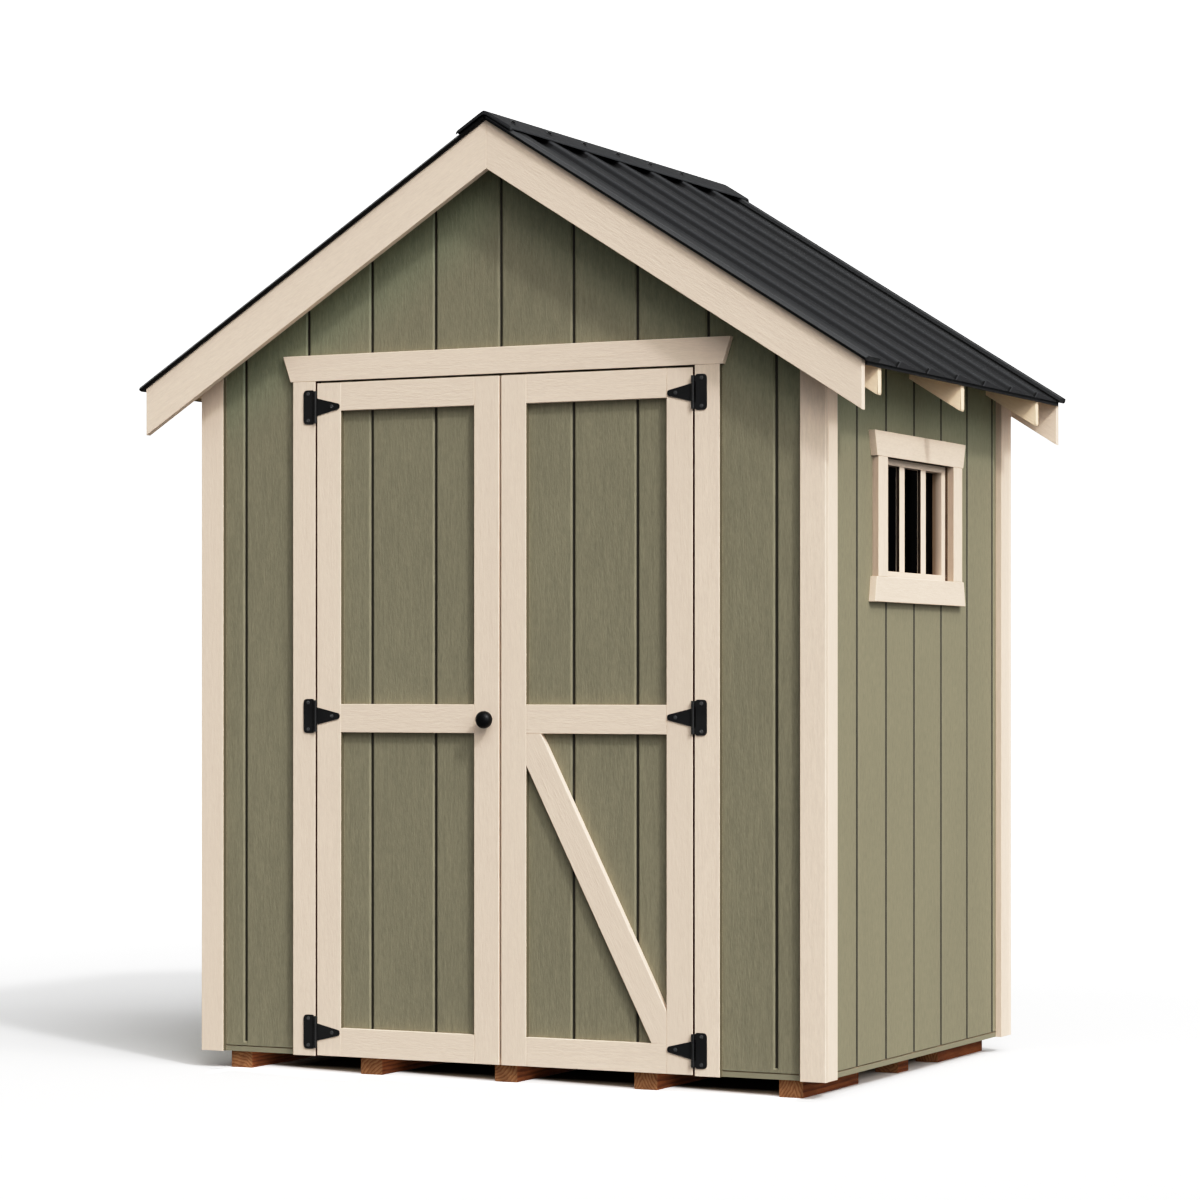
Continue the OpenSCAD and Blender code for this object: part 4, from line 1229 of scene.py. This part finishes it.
def door_knob():
    """A round pull: a rose, a neck and a flattened ball, as one turned profile, in shares of the
    knob's radius and reach."""
    low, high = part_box("door_knob")
    radius, reach = (high.x - low.x) / 2, high.y - low.y
    rose = [(0, 0), (0.42, 0), (0.44, 0.02), (0.44, 0.06), (0.40, 0.09), (0.34, 0.11), (0.33, 0.16),
            (0.34, 0.20), (0.37, 0.23)]
    a = np.linspace(-1.12, math.pi / 2, 22)
    ball = np.stack([np.cos(a) ** 0.9, 0.60 + 0.40 * np.sin(a)], 1)
    profile = np.concatenate([rose, ball[:-1], [[0, 1.0]]]) * (radius, reach)
    part = front_disc(turned(profile, sides=56), (low.x + high.x) / 2, high.y, (low.z + high.z) / 2)
    finish_node("door_knob", [part], [KNOB_COAT])


def dress_shed():
    """Every visible piece of the shed."""
    for node, sides in TRIM.items():
        finished_boards(node, CREAM_PAINT, **sides)
    finished_boards("rafters", BOUNCE_LIT_RAFTER_PAINT)
    for node in FRAMING_NODES:
        finished_boards(node, BARE_TIMBER, ease=ROUGH_EASE)
    finished_boards("roof_deck", BARE_TIMBER, ALONG_Y)
    finished_boards("runner_blocks", STAINED_TIMBER, ease=ROUGH_EASE, end_ease=ROUGH_END_EASE)
    front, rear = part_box("front_gable"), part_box("rear_wall")
    doorway = (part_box("front_wall_right")[0].x, front[0].z - SEAT)
    gable_siding("front_siding", ["front_wall_left", "front_wall_right", "front_gable"],
                 front[0].y, front[1].y, FRONT_GROOVES, doorway)
    gable_siding("rear_siding", ["rear_wall"], rear[1].y, rear[0].y, REAR_GROOVES)
    left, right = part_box("left_wall"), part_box("right_wall")
    side_siding("left_siding", "left_wall", left[0].x, left[1].x)
    side_siding("right_siding", "right_wall", right[1].x, right[0].x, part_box("window_sash"))
    for node in ("left_door_panel", "right_door_panel"):
        leaf_siding(node)
    roof_sheet("roof_sheet_left", -1)
    roof_sheet("roof_sheet_right", 1)
    ridge_cap()
    cap_fixings()
    hinges()
    door_knob()
    verge("front_verge", True)
    verge("rear_verge", False)
    kept = {"floor_deck": DECK, "window_glass": GLASS, "eave_flashings": ROOF_COAT}
    for node, material in kept.items():
        mesh = frame["nodes"][node].data
        mesh.materials.clear()
        mesh.materials.append(material)


def camera():
    """A level camera that looks at the shed as the photograph does."""
    lens = bpy.data.cameras.new("view")
    lens.sensor_width = SENSOR_MM
    lens.lens = SENSOR_MM * FOCAL_PX / PHOTO_PX
    lens.shift_y = (HORIZON_PX - PHOTO_PX / 2) / PHOTO_PX
    lens.clip_end = 4 * STAGE_REACH
    eye = placed("view", lens)
    eye.location = CAMERA_AT
    eye.rotation_euler = (math.pi / 2, 0, CAMERA_TURN)
    bpy.context.scene.camera = eye


def lamp(name, power, width, turn, height):
    """A sun lamp that stands at a turn round the shed and at a height above the horizon."""
    light = bpy.data.lights.new(name, "SUN")
    light.energy = power
    light.angle = width
    out = math.cos(height)
    towards = Vector((math.sin(turn) * out, -math.cos(turn) * out, math.sin(height)))
    made = placed(name, light)
    made.rotation_euler = towards.to_track_quat("Z", "Y").to_euler()
    return made


def lights():
    """The lamps and the sky, before the stage is there: the rear lamp lights only what is."""
    for name, values in LAMPS.items():
        lamp(name, *values)
    rear = lamp("rear lamp", *REAR_LAMP)
    lit = bpy.data.collections.new("lit by the rear lamp")
    for piece in [shape for shape in bpy.context.scene.objects if shape.type == "MESH"]:
        lit.objects.link(piece)
    rear.light_linking.receiver_collection = lit
    sky = bpy.data.worlds.new("even sky")
    sky.use_nodes = True
    background = sky.node_tree.nodes["Background"]
    background.inputs["Color"].default_value = (1, 1, 1, 1)
    background.inputs["Strength"].default_value = SKY_POWER
    bpy.context.scene.world = sky


def stage_piece(name, part, material):
    """A stage object that the camera sees and that sends no light on to the shed."""
    mesh = bpy.data.meshes.new(name)
    mesh.from_pydata(part["points"].tolist(), [], part["faces"])
    mesh.materials.append(material)
    piece = placed(name, mesh)
    piece.visible_diffuse = False
    piece.visible_glossy = False
    return piece


def stage():
    """A pale floor, and a pale dome round it that only the camera sees."""
    a = np.linspace(-math.pi / 2, math.pi / 2, 33)
    dome = turned(np.stack([np.cos(a), np.sin(a)], 1) * STAGE_REACH, STAGE_SIDES)
    backdrop = stage_piece("backdrop", dome, glow_finish("backdrop", 0.0, BACKDROP_GLOW))
    backdrop.visible_shadow = False
    backdrop.visible_transmission = False
    rows = [solid[:, 0].mean() for solid in solids_of("runner_blocks")]
    rows = np.unique(np.round(rows, 3))
    low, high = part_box("runner_blocks")
    half_x, half_y = high.x, -low.y
    pale = glow_finish("floor", FLOOR_PALE, FLOOR_GLOW,
                       (half_x, half_y, rows.max(), rows[1] - rows[0]))
    ends = np.array([-1, 1])
    x, y = np.meshgrid(ends * (half_x + FLOOR_APRON), ends * (half_y + FLOOR_APRON))
    under = np.stack([x, y, np.full(x.shape, -FLOOR_DROP)], -1)
    ground = stage_piece("floor under the shed", slab(under, under - (0, 0, FLOOR_DROP)), pale)
    ground.visible_diffuse = True
    wide = np.array([(0, -4), (STAGE_REACH, -4), (STAGE_REACH, -3), (0, -3)]) * (1, FLOOR_DROP)
    stage_piece("floor", turned(wide, STAGE_SIDES), pale)


def picture_tone():
    """A straight picture whose brightest tones bend softly towards white."""
    view = bpy.context.scene.view_settings
    view.view_transform = "Standard"
    view.use_curve_mapping = True
    curves = view.curve_mapping
    curves.white_level = (TONE_WHITE,) * 3
    line = curves.curves[3]
    for scene_value, shown_value in TONE_POINTS:
        line.points.new(scene_value / TONE_WHITE, shown_value)
    curves.update()


dress_shed()
camera()
lights()
stage()
picture_tone()
bpy.context.view_layer.update()
